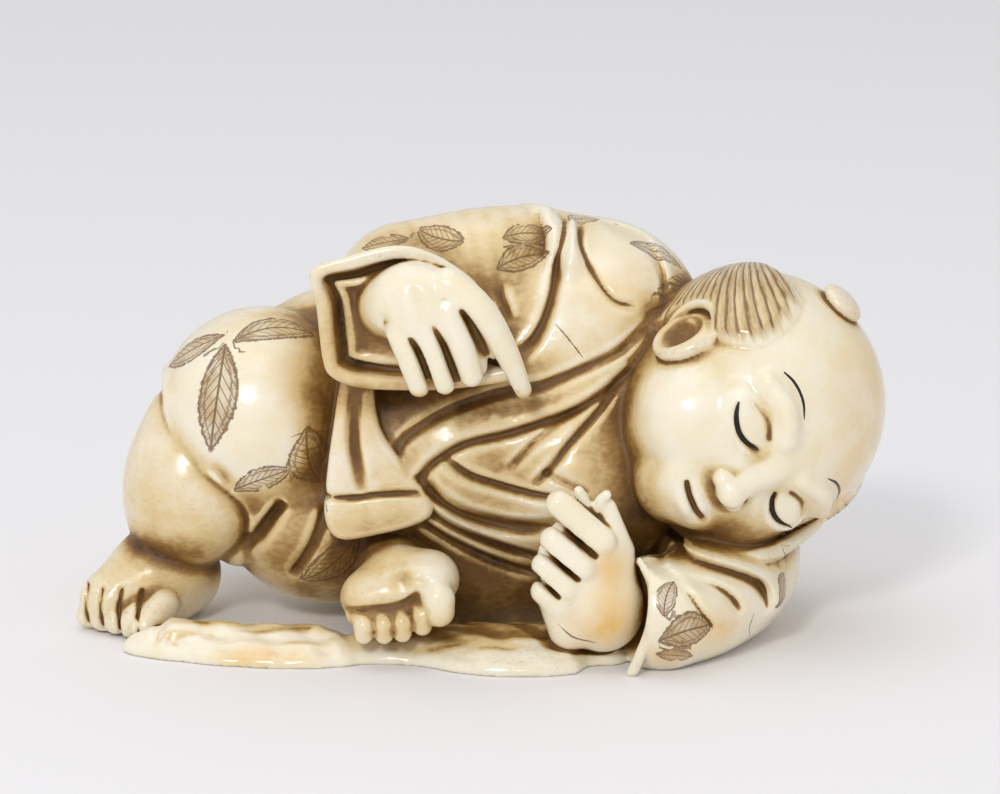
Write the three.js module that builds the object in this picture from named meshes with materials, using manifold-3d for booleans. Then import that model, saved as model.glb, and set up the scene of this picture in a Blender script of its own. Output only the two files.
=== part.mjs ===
// An ivory netsuke about 48 mm long: a boy in a loose robe lies on his belly, his cheek on his
// left sleeve, one bare foot behind him and the other turned up before his belly, on a leaf of
// two lobes. It is carved from one piece of tusk, so it is one solid.
//
// The figure lies along X with its head at +X and looks towards -Y; Z is up and the ground is
// z = 0. Every form is a signed distance: balls, limbs and slabs are joined with soft creases,
// as a carver leaves them, grooves and laps are then scored along lines drawn on a plane, and
// the surface of the whole is meshed and thinned to plain facets.

import * as THREE from 'three';
import { mergeVertices } from 'three/addons/utils/BufferGeometryUtils.js';
import Module from 'manifold-3d';

// ---- driving dimensions, mm ------------------------------------------------------------
const STEP = 0.4;                        // spacing of the carving grid
const FACETS = 9100;                     // triangles that the thinned surface keeps
const BLOCK_LOW = [-25.6, -15.2, -1.2];  // the block of tusk that the figure is cut from
const BLOCK_HIGH = [25.6, 15.2, 26];
const FAR = 3;                           // distances further than this aren't kept
const SOLE_DEPTH = 0.6;                  // stock left below the ground until the flat is cut

const HEAD = new THREE.Vector3(16, -3.2, 13.4);
const HEAD_LEAN = 22;                    // degrees that the crown points up from +X
const HEAD_BOW = 18;                     // degrees that the face is bowed to the ground
const SKULL = [7.1, 7.5, 7.7];           // half height, half width, half depth
const EYE_UP = -0.3;                     // the eyes are half way up the head
const EYE_OUT = 3;
const NOSE_UP = -3;                      // the nose ends half way from eyes to chin
const MOUTH_UP = -4.9;

const SLEEVE_FRONT = -8.9;               // the right sleeve's mouth lies on this depth
const SLEEVE_RIM = 0.8;                  // cloth at the right sleeve's mouth
const SLEEVE_FLARE = 0.3;                // how fast the sleeve widens to its mouth
const CUFF_RIM = 0.45;                   // the inner robe's cuff, set back inside it
const LEAF_TOP = 1.85;
const CORD_BORE = 1.2;                   // radius of the cord channel in the back
const CORD_SPREAD = 4.2;                 // half the distance between its two mouths
const CORD_HEIGHT = 12.4;
const CORD_DEPTH = 6.6;                  // how far back from the middle the channel turns
const MIDDLE = [0.15, -1.1];              // the middle of the figure's box, put at the origin

// ---- small vector helpers ----------------------------------------------------------------
const V = (p) => (p.isVector3 ? p : new THREE.Vector3(...p));
const radians = THREE.MathUtils.degToRad;
const clamp = THREE.MathUtils.clamp;

// Points on a smooth line through the given points.
function smooth(points, perSpan, closed = false) {
  const flat = points[0].length === 2;
  const knots = points.map((p) => new THREE.Vector3(p[0], p[1], p[2] ?? 0));
  const curve = new THREE.CatmullRomCurve3(knots, closed, 'catmullrom', 0.5);
  const spans = (closed ? knots.length : knots.length - 1) * perSpan;
  const line = curve.getPoints(spans);
  if (closed) line.pop();
  return flat ? line.map((p) => [p.x, p.y]) : line.map((p) => p.toArray());
}

// The three directions of a form turned by degrees about x, y and z.
function turned([rx, ry, rz] = [0, 0, 0]) {
  const turn = new THREE.Matrix4().makeRotationFromEuler(
    new THREE.Euler(radians(rx), radians(ry), radians(rz), 'ZYX'));
  const axes = [new THREE.Vector3(), new THREE.Vector3(), new THREE.Vector3()];
  turn.extractBasis(...axes);
  return axes;
}

// ---- forms: a signed distance and the box it lies in ---------------------------------------
function ball(centre, radii, axes = turned()) {
  const c = V(centre);
  const reach = new THREE.Vector3();
  axes.forEach((axis, i) => {
    reach.x += (axis.x * radii[i]) ** 2;
    reach.y += (axis.y * radii[i]) ** 2;
    reach.z += (axis.z * radii[i]) ** 2;
  });
  reach.set(Math.sqrt(reach.x), Math.sqrt(reach.y), Math.sqrt(reach.z));
  const distance = (x, y, z) => {
    let near = 0;
    let steep = 0;
    for (let i = 0; i < 3; i += 1) {
      const a = axes[i];
      const q = ((x - c.x) * a.x + (y - c.y) * a.y + (z - c.z) * a.z) / radii[i];
      near += q * q;
      steep += (q / radii[i]) ** 2;
    }
    near = Math.sqrt(near);
    return (near * (near - 1)) / Math.max(Math.sqrt(steep), 1e-6);
  };
  return { distance, box: new THREE.Box3(c.clone().sub(reach), c.clone().add(reach)) };
}

// A round limb along a line, with a radius at each of its points.
function limb(points, radii, perSpan = 6) {
  let stations = points.map((p, i) => [...V(p).toArray(), radii[i]]);
  if (perSpan > 0 && points.length > 2) {
    const line = smooth(points.map((p) => V(p).toArray()), perSpan);
    const girth = smooth(radii.map((r, i) => [i, r]), perSpan);
    stations = line.map((p, i) => [...p, girth[i][1]]);
  }
  const box = new THREE.Box3();
  stations.forEach(([x, y, z, r]) => {
    const middle = new THREE.Vector3(x, y, z);
    box.union(new THREE.Box3().setFromCenterAndSize(middle, new THREE.Vector3(2 * r, 2 * r, 2 * r)));
  });
  const distance = (x, y, z) => {
    let best = Infinity;
    for (let i = 0; i + 1 < stations.length; i += 1) {
      const [ax, ay, az, ar] = stations[i];
      const [bx, by, bz, br] = stations[i + 1];
      const [ex, ey, ez] = [bx - ax, by - ay, bz - az];
      const along = ((x - ax) * ex + (y - ay) * ey + (z - az) * ez)
        / (ex * ex + ey * ey + ez * ez || 1e-9);
      const t = clamp(along, 0, 1);
      const d = Math.hypot(x - ax - t * ex, y - ay - t * ey, z - az - t * ez);
      best = Math.min(best, d - ar - t * (br - ar));
    }
    return best;
  };
  return { distance, box };
}

// Signed distance to a closed outline in its plane, negative inside.
function outlineDistance(u, v, outline) {
  let best = Infinity;
  let inside = false;
  for (let i = 0; i < outline.length; i += 1) {
    const [ax, ay] = outline[i];
    const [bx, by] = outline[(i + 1) % outline.length];
    const [ex, ey] = [bx - ax, by - ay];
    const t = clamp(((u - ax) * ex + (v - ay) * ey) / (ex * ex + ey * ey || 1e-9), 0, 1);
    best = Math.min(best, Math.hypot(u - ax - t * ex, v - ay - t * ey));
    if ((ay > v) !== (by > v) && u < (ex * (v - ay)) / ey + ax) inside = !inside;
  }
  return inside ? -best : best;
}

// A rounded slab: an outline on the front (x, z) or on the ground (x, y), carried from one
// depth to another. Past the depth start, each millimetre draws it in by taper.
function slab(corners, [from, to], rounding, { onGround = false, taper = 0, start = from } = {}) {
  const outline = smooth(corners, 4, true);
  const us = outline.map((p) => p[0]);
  const vs = outline.map((p) => p[1]);
  const [u0, u1, v0, v1] = [Math.min(...us), Math.max(...us), Math.min(...vs), Math.max(...vs)];
  const box = onGround
    ? new THREE.Box3(new THREE.Vector3(u0, v0, from), new THREE.Vector3(u1, v1, to))
    : new THREE.Box3(new THREE.Vector3(u0, from, v0), new THREE.Vector3(u1, to, v1));
  const distance = (x, y, z) => {
    const depth = onGround ? z : y;
    const side = outlineDistance(x, onGround ? y : z, outline) + rounding + taper * (depth - start);
    const end = Math.abs(depth - (from + to) / 2) - (to - from) / 2 + rounding;
    return Math.min(Math.max(side, end), 0)
      + Math.hypot(Math.max(side, 0), Math.max(end, 0)) - rounding;
  };
  return { distance, box };
}

// The least of two distances, with a crease filled to the given width.
function soften(a, b, width) {
  if (width <= 0) return Math.min(a, b);
  const h = clamp(0.5 + (0.5 * (b - a)) / width, 0, 1);
  return b + (a - b) * h - width * h * (1 - h);
}

// ---- planes that lines are drawn on --------------------------------------------------------
const FRONT = {
  at: new THREE.Vector3(), across: new THREE.Vector3(1, 0, 0),
  up: new THREE.Vector3(0, 0, 1), out: new THREE.Vector3(0, -1, 0),
};
const BACK = {
  at: new THREE.Vector3(), across: new THREE.Vector3(-1, 0, 0),
  up: new THREE.Vector3(0, 0, 1), out: new THREE.Vector3(0, 1, 0),
};

// ---- the carving: distances on a grid ------------------------------------------------------
class Carving {
  constructor() {
    this.low = new THREE.Vector3(...BLOCK_LOW);
    this.count = BLOCK_LOW.map((low, i) => Math.ceil((BLOCK_HIGH[i] - low) / STEP) + 1);
    this.value = new Float32Array(this.count[0] * this.count[1] * this.count[2]).fill(FAR);
  }

  index(i, j, k) {
    return (i * this.count[1] + j) * this.count[2] + k;
  }

  // Calls visit(index, x, y, z) for each grid point of a box, widened by pad.
  each(box, pad, visit) {
    const from = [];
    const to = [];
    ['x', 'y', 'z'].forEach((a, i) => {
      const last = this.count[i] - 1;
      from[i] = clamp(Math.floor((box.min[a] - pad - this.low[a]) / STEP), 0, last);
      to[i] = clamp(Math.ceil((box.max[a] + pad - this.low[a]) / STEP), 0, last);
    });
    for (let i = from[0]; i <= to[0]; i += 1) {
      for (let j = from[1]; j <= to[1]; j += 1) {
        for (let k = from[2]; k <= to[2]; k += 1) {
          visit(this.index(i, j, k),
            this.low.x + i * STEP, this.low.y + j * STEP, this.low.z + k * STEP);
        }
      }
    }
  }

  join(form, crease = 0) {
    this.each(form.box, crease + 1.2, (at, x, y, z) => {
      this.value[at] = soften(this.value[at], form.distance(x, y, z), crease);
    });
  }

  cut(form, crease = 0) {
    this.each(form.box, crease + 0.6, (at, x, y, z) => {
      this.value[at] = -soften(-this.value[at], form.distance(x, y, z), crease);
    });
  }

  merge(other, crease) {
    this.value.forEach((value, at) => {
      this.value[at] = soften(value, other.value[at], crease);
    });
  }

  // Fills the pockets between forms that no way leads into from outside.
  fillPockets() {
    const row = this.count[2];
    const layer = row * this.count[1];
    const open = new Uint8Array(this.value.length);
    const queue = [0];
    while (queue.length) {
      const at = queue.pop();
      [layer, -layer, row, -row, 1, -1].forEach((step) => {
        if (this.value[at + step] > 0 && !open[at + step]) {
          open[at + step] = 1;
          queue.push(at + step);
        }
      });
    }
    this.value.forEach((value, at) => {
      if (value > 0 && !open[at]) this.value[at] = -value;
    });
  }

  // Calls visit(index, u, v, share) near a line drawn on a plane, between two depths.
  onPlane(line, plane, [near, far], pad, visit) {
    const box = new THREE.Box3();
    line.forEach(([u, v]) => [near, far].forEach((n) => {
      box.expandByPoint(plane.at.clone().addScaledVector(plane.across, u)
        .addScaledVector(plane.up, v).addScaledVector(plane.out, n));
    }));
    const p = new THREE.Vector3();
    this.each(box, pad, (at, x, y, z) => {
      p.set(x, y, z).sub(plane.at);
      const n = p.dot(plane.out);
      const share = clamp((n - near) * 2 + 0.5, 0, 1) * clamp((far - n) * 2 + 0.5, 0, 1);
      if (share > 0) visit(at, p.dot(plane.across), p.dot(plane.up), share);
    });
  }

  // A groove along a line drawn on a plane. A lap raises the cloth on its left hand.
  score(points, { width, depth, lap = 0, reach = 1.6, plane = FRONT, span = [0, 16], fade = 0.12 }) {
    const line = points.length > 2 ? smooth(points, 5) : points;
    const lengths = [0];
    for (let i = 1; i < line.length; i += 1) {
      lengths[i] = lengths[i - 1] + Math.hypot(line[i][0] - line[i - 1][0],
        line[i][1] - line[i - 1][1]);
    }
    const whole = lengths[line.length - 1];
    this.onPlane(line, plane, span, Math.max(width, lap ? reach : 0), (at, u, v, share) => {
      let best = Infinity;
      let side = 0;
      let along = 0;
      for (let i = 0; i + 1 < line.length; i += 1) {
        const [ax, ay] = line[i];
        const [ex, ey] = [line[i + 1][0] - ax, line[i + 1][1] - ay];
        const t = clamp(((u - ax) * ex + (v - ay) * ey) / (ex * ex + ey * ey || 1e-9), 0, 1);
        const d = Math.hypot(u - ax - t * ex, v - ay - t * ey);
        if (d < best) {
          best = d;
          side = Math.sign(ex * (v - ay) - ey * (u - ax));
          along = (lengths[i] + t * (lengths[i + 1] - lengths[i])) / whole;
        }
      }
      const kept = fade ? Math.sqrt(clamp(Math.min(along, 1 - along) / fade, 0, 1)) : 1;
      let change = depth * Math.max(1 - (best / width) ** 2, 0) ** 1.5;
      change -= lap * clamp(0.5 + (side * best) / 0.3, 0, 1) * Math.max(1 - best / reach, 0) ** 1.5;
      this.value[at] += change * kept * share;
    });
  }

  // Raises what lies inside an outline drawn on a plane.
  swell(corners, { height, edge = 0.5, plane = FRONT, span = [0, 16] }) {
    const outline = smooth(corners, 4, true);
    this.onPlane(outline, plane, span, edge, (at, u, v, share) => {
      const inside = clamp(0.5 - outlineDistance(u, v, outline) / edge, 0, 1);
      this.value[at] -= height * inside * share;
    });
  }
}

// ---- the surface of the carving ------------------------------------------------------------
const CORNERS = [0, 1, 2, 3, 4, 5, 6, 7].map((c) => [c & 1, (c >> 1) & 1, (c >> 2) & 1]);
const CELL_EDGES = [];
for (let a = 0; a < 8; a += 1) {
  for (const bit of [1, 2, 4]) if (!(a & bit)) CELL_EDGES.push([a, a | bit]);
}
const CELL_FACES = [];
for (const bit of [1, 2, 4]) {
  const [p, q] = [1, 2, 4].filter((other) => other !== bit);
  for (const base of [0, bit]) CELL_FACES.push([base, base | p, base | p | q, base | q]);
}

// True for a pattern of inside corners that would pinch the surface.
function pinches(pattern) {
  const inside = (c) => (pattern >> c) & 1;
  if (CELL_FACES.some(([a, b, c, d]) => inside(a) === inside(c) && inside(b) === inside(d)
    && inside(a) !== inside(b))) return true;
  return [0, 1].some((kind) => {
    const corners = [0, 1, 2, 3, 4, 5, 6, 7].filter((c) => inside(c) === kind);
    const seen = new Set(corners.slice(0, 1));
    for (let pass = 0; pass < 8; pass += 1) {
      CELL_EDGES.forEach(([a, b]) => {
        if (inside(a) === kind && inside(b) === kind && (seen.has(a) || seen.has(b))) {
          seen.add(a).add(b);
        }
      });
    }
    return seen.size < corners.length;
  });
}
const PINCHES = Array.from({ length: 256 }, (_, pattern) => pinches(pattern));

// Meshes where the distance is zero: one vertex in each cell that the surface crosses.
function surface(carving) {
  const [nx, ny, nz] = carving.count;
  const { value } = carving;
  const offsets = CORNERS.map(([i, j, k]) => carving.index(i, j, k));
  const patternAt = (at) => offsets.reduce((sum, o, c) => sum | ((value[at + o] < 0) << c), 0);
  const eachCell = (visit) => {
    for (let i = 0; i + 1 < nx; i += 1) {
      for (let j = 0; j + 1 < ny; j += 1) {
        for (let k = 0; k + 1 < nz; k += 1) visit(carving.index(i, j, k), i, j, k);
      }
    }
  };
  for (let filled = 1; filled > 0;) {
    filled = 0;
    eachCell((at) => {
      if (!PINCHES[patternAt(at)]) return;
      const open = offsets.filter((o) => value[at + o] >= 0);
      const nearest = open.reduce((a, b) => (value[at + a] < value[at + b] ? a : b));
      value[at + nearest] = -0.05 * STEP;
      filled += 1;
    });
  }
  const vertexOf = new Int32Array(value.length).fill(-1);
  const points = [];
  eachCell((at, i, j, k) => {
    const pattern = patternAt(at);
    if (pattern === 0 || pattern === 255) return;
    const sum = [0, 0, 0];
    let crossings = 0;
    CELL_EDGES.forEach(([a, b]) => {
      const [va, vb] = [value[at + offsets[a]], value[at + offsets[b]]];
      if ((va < 0) === (vb < 0)) return;
      const t = clamp(va / (va - vb), 0.02, 0.98);
      for (let d = 0; d < 3; d += 1) sum[d] += CORNERS[a][d] + t * (CORNERS[b][d] - CORNERS[a][d]);
      crossings += 1;
    });
    vertexOf[at] = points.length;
    points.push(new THREE.Vector3(i + sum[0] / crossings, j + sum[1] / crossings,
      k + sum[2] / crossings).multiplyScalar(STEP).add(carving.low));
  });
  const triangles = [];
  const strides = [carving.index(1, 0, 0), carving.index(0, 1, 0), carving.index(0, 0, 1)];
  eachCell((at) => {
    for (let d = 0; d < 3; d += 1) {
      const inside = value[at] < 0;
      if (inside === value[at + strides[d]] < 0) continue;
      const [p, q] = [strides[(d + 1) % 3], strides[(d + 2) % 3]];
      const ring = [at - p - q, at - q, at, at - p].map((cell) => vertexOf[cell]);
      if (!inside) ring.reverse();
      const [a, b, c, e] = ring;
      const short = points[a].distanceTo(points[c]) < points[b].distanceTo(points[e]);
      triangles.push(...(short ? [[a, b, c], [a, c, e]] : [[a, b, e], [b, c, e]]));
    }
  });
  return { points, triangles };
}

// ---- thinning: edges are collapsed where that changes the shape least ----------------------
// A quadric holds the squared distances to the planes of the facets round a point.
function planeQuadric(n, d, weight) {
  return [n.x * n.x, n.x * n.y, n.x * n.z, n.x * d, n.y * n.y, n.y * n.z, n.y * d,
    n.z * n.z, n.z * d, d * d].map((term) => term * weight);
}
const addQuadric = (a, b) => a.map((term, i) => term + b[i]);
function quadricError(q, p) {
  return q[0] * p.x * p.x + 2 * q[1] * p.x * p.y + 2 * q[2] * p.x * p.z + 2 * q[3] * p.x
    + q[4] * p.y * p.y + 2 * q[5] * p.y * p.z + 2 * q[6] * p.y
    + q[7] * p.z * p.z + 2 * q[8] * p.z + q[9];
}

// A heap of edges, the cheapest collapse on top.
class Heap {
  constructor() { this.items = []; }

  push(item) {
    const list = this.items;
    let at = list.push(item) - 1;
    while (at > 0) {
      const up = (at - 1) >> 1;
      if (list[up].cost <= list[at].cost) break;
      [list[up], list[at]] = [list[at], list[up]];
      at = up;
    }
  }

  pop() {
    const list = this.items;
    const top = list[0];
    const last = list.pop();
    if (list.length) {
      list[0] = last;
      for (let at = 0; ;) {
        let low = at;
        for (const down of [2 * at + 1, 2 * at + 2]) {
          if (down < list.length && list[down].cost < list[low].cost) low = down;
        }
        if (low === at) break;
        [list[low], list[at]] = [list[at], list[low]];
        at = low;
      }
    }
    return top;
  }
}

function thin({ points, triangles }, target) {
  const around = points.map(() => new Set());
  triangles.forEach((t, id) => t.forEach((v) => around[v].add(id)));
  const facing = (a, b, c) => b.clone().sub(a).cross(c.clone().sub(a));
  let quadrics = points.map(() => new Array(10).fill(0));
  triangles.forEach((t) => {
    const n = facing(...t.map((v) => points[v]));
    const area = n.length() / 2;
    n.normalize();
    const q = planeQuadric(n, -n.dot(points[t[0]]), area + 1e-6);
    t.forEach((v) => { quadrics[v] = addQuadric(quadrics[v], q); });
  });
  const version = new Uint32Array(points.length);
  const heap = new Heap();
  const neighbours = (v) => {
    const found = new Set();
    around[v].forEach((id) => triangles[id].forEach((w) => found.add(w)));
    found.delete(v);
    return found;
  };
  const weigh = (a, b) => {
    const q = addQuadric(quadrics[a], quadrics[b]);
    const solve = new THREE.Matrix3(q[0], q[1], q[2], q[1], q[4], q[5], q[2], q[5], q[7]);
    const middle = points[a].clone().add(points[b]).multiplyScalar(0.5);
    const length = points[a].distanceTo(points[b]);
    const choices = [middle, points[a], points[b]];
    if (Math.abs(solve.determinant()) > 1e-7) {
      const best = new THREE.Vector3(-q[3], -q[6], -q[8]).applyMatrix3(solve.invert());
      if (best.distanceTo(middle) < length) choices.unshift(best);
    }
    let place = choices[0];
    choices.forEach((p) => { if (quadricError(q, p) < quadricError(q, place)) place = p; });
    const cost = Math.max(quadricError(q, place), 0) + 1e-5 * length * length;
    heap.push({ a, b, cost, place, stamp: version[a] + version[b] });
  };
  const offer = (v, after = -1) => neighbours(v).forEach((w) => { if (w > after) weigh(v, w); });
  points.forEach((_, v) => offer(v, v));
  let left = triangles.length;
  while (left > target && heap.items.length) {
    const { a, b, place, stamp } = heap.pop();
    if (around[a].size === 0 || around[b].size === 0 || stamp !== version[a] + version[b]) continue;
    const shared = [...around[a]].filter((id) => around[b].has(id));
    const [nearA, nearB] = [neighbours(a), neighbours(b)];
    const common = [...nearA].filter((v) => nearB.has(v));
    if (shared.length !== 2 || common.length !== 2) continue;
    const turnsOver = [a, b].some((v) => [...around[v]].some((id) => {
      if (shared.includes(id)) return false;
      const corners = triangles[id].map((w) => points[w]);
      const moved = triangles[id].map((w) => (w === v ? place : points[w]));
      const [before, after] = [facing(...corners), facing(...moved)];
      const long = Math.max(...moved.map((p, i) => p.distanceTo(moved[(i + 1) % 3])));
      return before.dot(after) < 0.25 * before.length() * after.length()
        || after.length() < 0.04 * long * long;
    }));
    if (turnsOver) continue;
    shared.forEach((id) => triangles[id].forEach((v) => around[v].delete(id)));
    left -= 2;
    around[b].forEach((id) => {
      triangles[id] = triangles[id].map((v) => (v === b ? a : v));
      around[a].add(id);
    });
    around[b] = new Set();
    points[a] = place;
    quadrics[a] = addQuadric(quadrics[a], quadrics[b]);
    version[a] += 1;
    version[b] += 1;
    neighbours(a).forEach((v) => { version[v] += 1; });
    neighbours(a).forEach((v) => offer(v));
  }
  const kept = new Set();
  around.forEach((ids) => ids.forEach((id) => kept.add(id)));
  return { points, triangles: [...kept].map((id) => triangles[id]) };
}

// ---- the head's own directions: up to the crown, out to its side, forward through the face --
const crownward = new THREE.Vector3(Math.cos(radians(HEAD_LEAN)), 0, Math.sin(radians(HEAD_LEAN)));
const upright = new THREE.Vector3(-crownward.z, 0, crownward.x);
const ahead = new THREE.Vector3(0, -1, 0);
const bow = [Math.cos(radians(HEAD_BOW)), Math.sin(radians(HEAD_BOW))];
const forward = ahead.clone().multiplyScalar(bow[0]).addScaledVector(upright, -bow[1]);
const sideward = upright.clone().multiplyScalar(bow[0]).addScaledVector(ahead, bow[1]);
const HEAD_AXES = [crownward, sideward, forward];
const FACE = { at: HEAD, across: sideward, up: crownward, out: forward };
const onHead = (up, side, front) => HEAD.clone().addScaledVector(crownward, up)
  .addScaledVector(sideward, side).addScaledVector(forward, front);
const temple = (side) => ({
  at: HEAD, across: forward, up: crownward, out: sideward.clone().multiplyScalar(side),
});

// ---- the figure, one function for each part of it -------------------------------------------
function robedBody(block) {
  block.join(ball([4.2, 2.2, 13.6], [9, 8.6, 9.3]));               // chest and belly
  block.join(ball([7.2, 2.2, 16.9], [6.2, 7.2, 6.3]), 2);          // shoulders
  block.join(ball([-1.5, 0.8, 10.6], [9.5, 8.6, 7.9]), 2);         // waist
  block.join(ball([-7.5, 3.8, 11.2], [8, 8.2, 7.8]), 2);           // back of the hips
  block.join(ball([6, -1, 9], [7, 7.5, 6.5]), 2);                  // front of the belly
  block.join(limb([[3, 3.5, 22.9], [4.4, 0.5, 23.1], [5.4, -2.5, 21.8]], [1.2, 1.2, 0.9]), 0.8);
  block.join(ball([1, 1, 3.6], [9.5, 6.6, 5]), 1.5);               // set back, on the ground
}

// The lapel's band across the chest, and the folds that hang from it over the belly.
function frontFolds(block) {
  block.score([[10, 18.6], [8.3, 17.2], [7, 16.6], [5.3, 15.9], [3.7, 15.3], [2, 15], [0.3, 14.6],
    [-1.7, 13.9], [-3.3, 13], [-4.4, 12.1], [-4.7, 11]], { width: 0.5, depth: 0.38 });
  block.score([[-3.6, 9.9], [-3.1, 10.5], [-2.3, 11.3], [-0.7, 12.2], [1.7, 12.7], [3.7, 13.3],
    [5.7, 14], [7.5, 15], [9, 16.2]], { width: 0.5, depth: 0.55, lap: 0.32, reach: 2 });
  block.score([[3.2, 9.8], [4.1, 10.7], [5.2, 12.1], [6.6, 13.5], [8.2, 15.2]],
    { width: 0.42, depth: 0.4, lap: 0.2 });
  block.score([[5.4, 9.2], [4.2, 9.1], [2.7, 9.3], [1.1, 9.7], [-0.5, 10.3], [-2, 11.4]],
    { width: 0.45, depth: 0.5, lap: 0.36, reach: 1.2 });
  block.score([[-3.4, 10.5], [-2.1, 8.9], [-0.5, 7.9], [1.3, 7.4], [2.9, 7.3], [4.6, 7.5]],
    { width: 0.62, depth: 0.6, lap: 0.3 });
  block.score([[-6.5, 14.4], [-6, 13.1], [-5.2, 11.4], [-4.3, 10], [-3.2, 8.6], [-1.9, 7.4],
    [-0.3, 6.4], [1.7, 5.6], [3.6, 5.2]], { width: 0.5, depth: 0.62, lap: 0.42 });
  block.score([[-3.4, 7.6], [-1.5, 6.1], [0.1, 5.1], [2.1, 4.3], [3.5, 4]],
    { width: 0.45, depth: 0.42, lap: 0.25 });
}

// The arm hole's seam and the cloth gathered between it and the collar on the nape.
function shoulderFolds(block) {
  const tuck = { width: 0.42, depth: 0.3, span: [-2, 12] };
  block.score([[4.4, 24.4], [5.1, 23.6], [4.8, 21.9], [4.3, 19.7], [3.5, 18], [2.5, 17]],
    { ...tuck, width: 0.5, depth: 0.55, lap: 0.18 });
  block.score([[6.2, 23.8], [6, 22.6], [6.8, 21.2], [7.9, 19.9], [9.2, 19.5]], tuck);
  block.score([[7, 23.8], [8.5, 23], [10, 22.2], [10.8, 20.9], [10.9, 19.4]], tuck);
  block.score([[0.8, 23.6], [0.8, 22.2], [1.2, 20.4], [1.9, 18.8]], { ...tuck, lap: 0.15 });
}

// The back of the robe: the centre seam, long folds from the seat to the collar, and its hem.
function backFolds(block) {
  const fold = { width: 0.6, depth: 0.45, lap: 0.3, reach: 2, plane: BACK, span: [0, 14] };
  block.score([[-9, 17], [-4.5, 15.4], [1, 14.6], [6.5, 13.2]], fold);
  block.score([[-9.5, 13], [-4, 11.8], [1.5, 10], [6.5, 8.2]], fold);
  block.score([[-8.5, 9.4], [-3.5, 8], [1.5, 5.8], [5, 3.4]], fold);
  block.score([[9.4, 17.2], [10.4, 13.4], [10.2, 9], [8.6, 4.6]],
    { ...fold, width: 0.7, depth: 0.55, lap: 0.4 });               // hem over the seat
}

function seat(block) {
  const form = new Carving();
  form.join(ball([-12.8, -0.6, 12.4], [6.1, 6.6, 6.2]));           // right thigh
  form.join(ball([-11.6, 6, 10.8], [7, 6.2, 6.3]), 2);             // seat
  form.join(ball([-9.4, 0, 6], [6.2, 6.2, 5.2], turned([0, 18, 0])), 1.5);
  block.merge(form, 0.5);
  block.score([[-19, 15], [-18.7, 13.9], [-18.6, 13], [-18, 11.7], [-16.8, 10.3], [-15.3, 9.2],
    [-14.2, 8.1], [-13.7, 7.1], [-13.6, 5.9]],
  { width: 0.45, depth: 0.42, lap: 0.4, reach: 1.2, span: [-3, 10], fade: 0 });  // trouser hem
  block.cut(ball([-19.1, -2, 13.4], [0.7, 1.6, 0.5]), 0.3);        // a nick in it
  block.score([[-11.3, 8.3], [-12.2, 6.9], [-13.3, 5.5], [-14.6, 4.6]], { width: 0.6, depth: 0.95 });
  block.score([[-8.7, 8], [-9.5, 5.8], [-10.8, 3.6]], { width: 0.5, depth: 0.5, lap: 0.2 });
  block.score([[-15.5, 11], [-14.7, 10.1], [-14.1, 9.1]], { width: 0.5, depth: 0.3 });
}

function robeCorner(block) {
  const form = new Carving();
  form.join(slab([[-7.6, 16.4], [-8.3, 13], [-8.7, 10], [-8.8, 7.7], [-8, 6.5], [-6, 6.7],
    [-3.2, 7.5], [-2.6, 8.6], [-4.2, 11], [-5.6, 13.2], [-6.2, 16.4]], [-7.9, -3], 0.45));
  form.score([[-9, 9], [-7.1, 9], [-5.6, 9.2], [-3, 9.3]],
    { width: 0.38, depth: 0.3, lap: -0.2, reach: 0.8, fade: 0 });
  form.score([[-7, 15.6], [-7.1, 12.5], [-6.8, 10.4], [-6.6, 9.4]], { width: 0.55, depth: 0.6 });
  block.merge(form, 0.15);
}

function rightLeg(block) {
  const form = new Carving();
  form.join(ball([-17, -2, 8.4], [3.6, 4.3, 4.5]));                // calf
  form.join(limb([[-16.3, -1.2, 11], [-17.2, -2.2, 8], [-17.8, -2, 5.4]], [3.6, 3.6, 2.7]), 1);
  form.join(ball([-15.9, -3.6, 7.3], [2.5, 2.6, 2.8]), 1.5);
  const foot = new Carving();
  foot.join(limb([[-17.9, -0.8, 2.3], [-19.4, -2.6, 2.3], [-21.6, -3.9, 1.7]], [2.5, 2.7, 1.9]));
  foot.join(ball([-18.6, -1.8, 3.1], [3, 3.4, 2.6]), 1);
  const [firstToe, lastToe] = [V([-23, -4.2, 0.85]), V([-19.4, -6.8, 0.95])];
  for (let toe = 0; toe < 5; toe += 1) {
    const tip = firstToe.clone().lerp(lastToe, toe / 4);
    const girth = 0.74 + 0.06 * toe;
    const knuckle = tip.clone().add(V([1, 1.3, 1]));
    foot.join(limb([knuckle, tip.clone().lerp(knuckle, 0.3), tip], [girth, girth, 0.92 * girth], 0),
      0.2);
  }
  [-22.9, -22, -20.9, -19.7].forEach((x) => foot.score([[x + 0.1, 3], [x - 0.1, 1.8], [x, 0.4]],
    { width: 0.35, depth: 0.35, span: [2, 10] }));
  form.merge(foot, 0.35);
  form.join(ball([-14.1, -1.6, 5], [1.7, 2.8, 1.7]), 0.3);         // where it meets the seat
  block.merge(form, 0.2);
}

// An outline moved inwards by a fixed width.
function shrunk(outline, by) {
  const middle = outline.reduce(([x, y], p) => [x + p[0] / outline.length, y + p[1] / outline.length],
    [0, 0]);
  return outline.map((p, i) => {
    const before = outline[(i + outline.length - 1) % outline.length];
    const after = outline[(i + 1) % outline.length];
    const across = new THREE.Vector2(after[1] - before[1], before[0] - after[0]).normalize();
    if (across.dot(new THREE.Vector2(middle[0] - p[0], middle[1] - p[1])) < 0) across.negate();
    return [p[0] + across.x * by, p[1] + across.y * by];
  });
}

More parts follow.
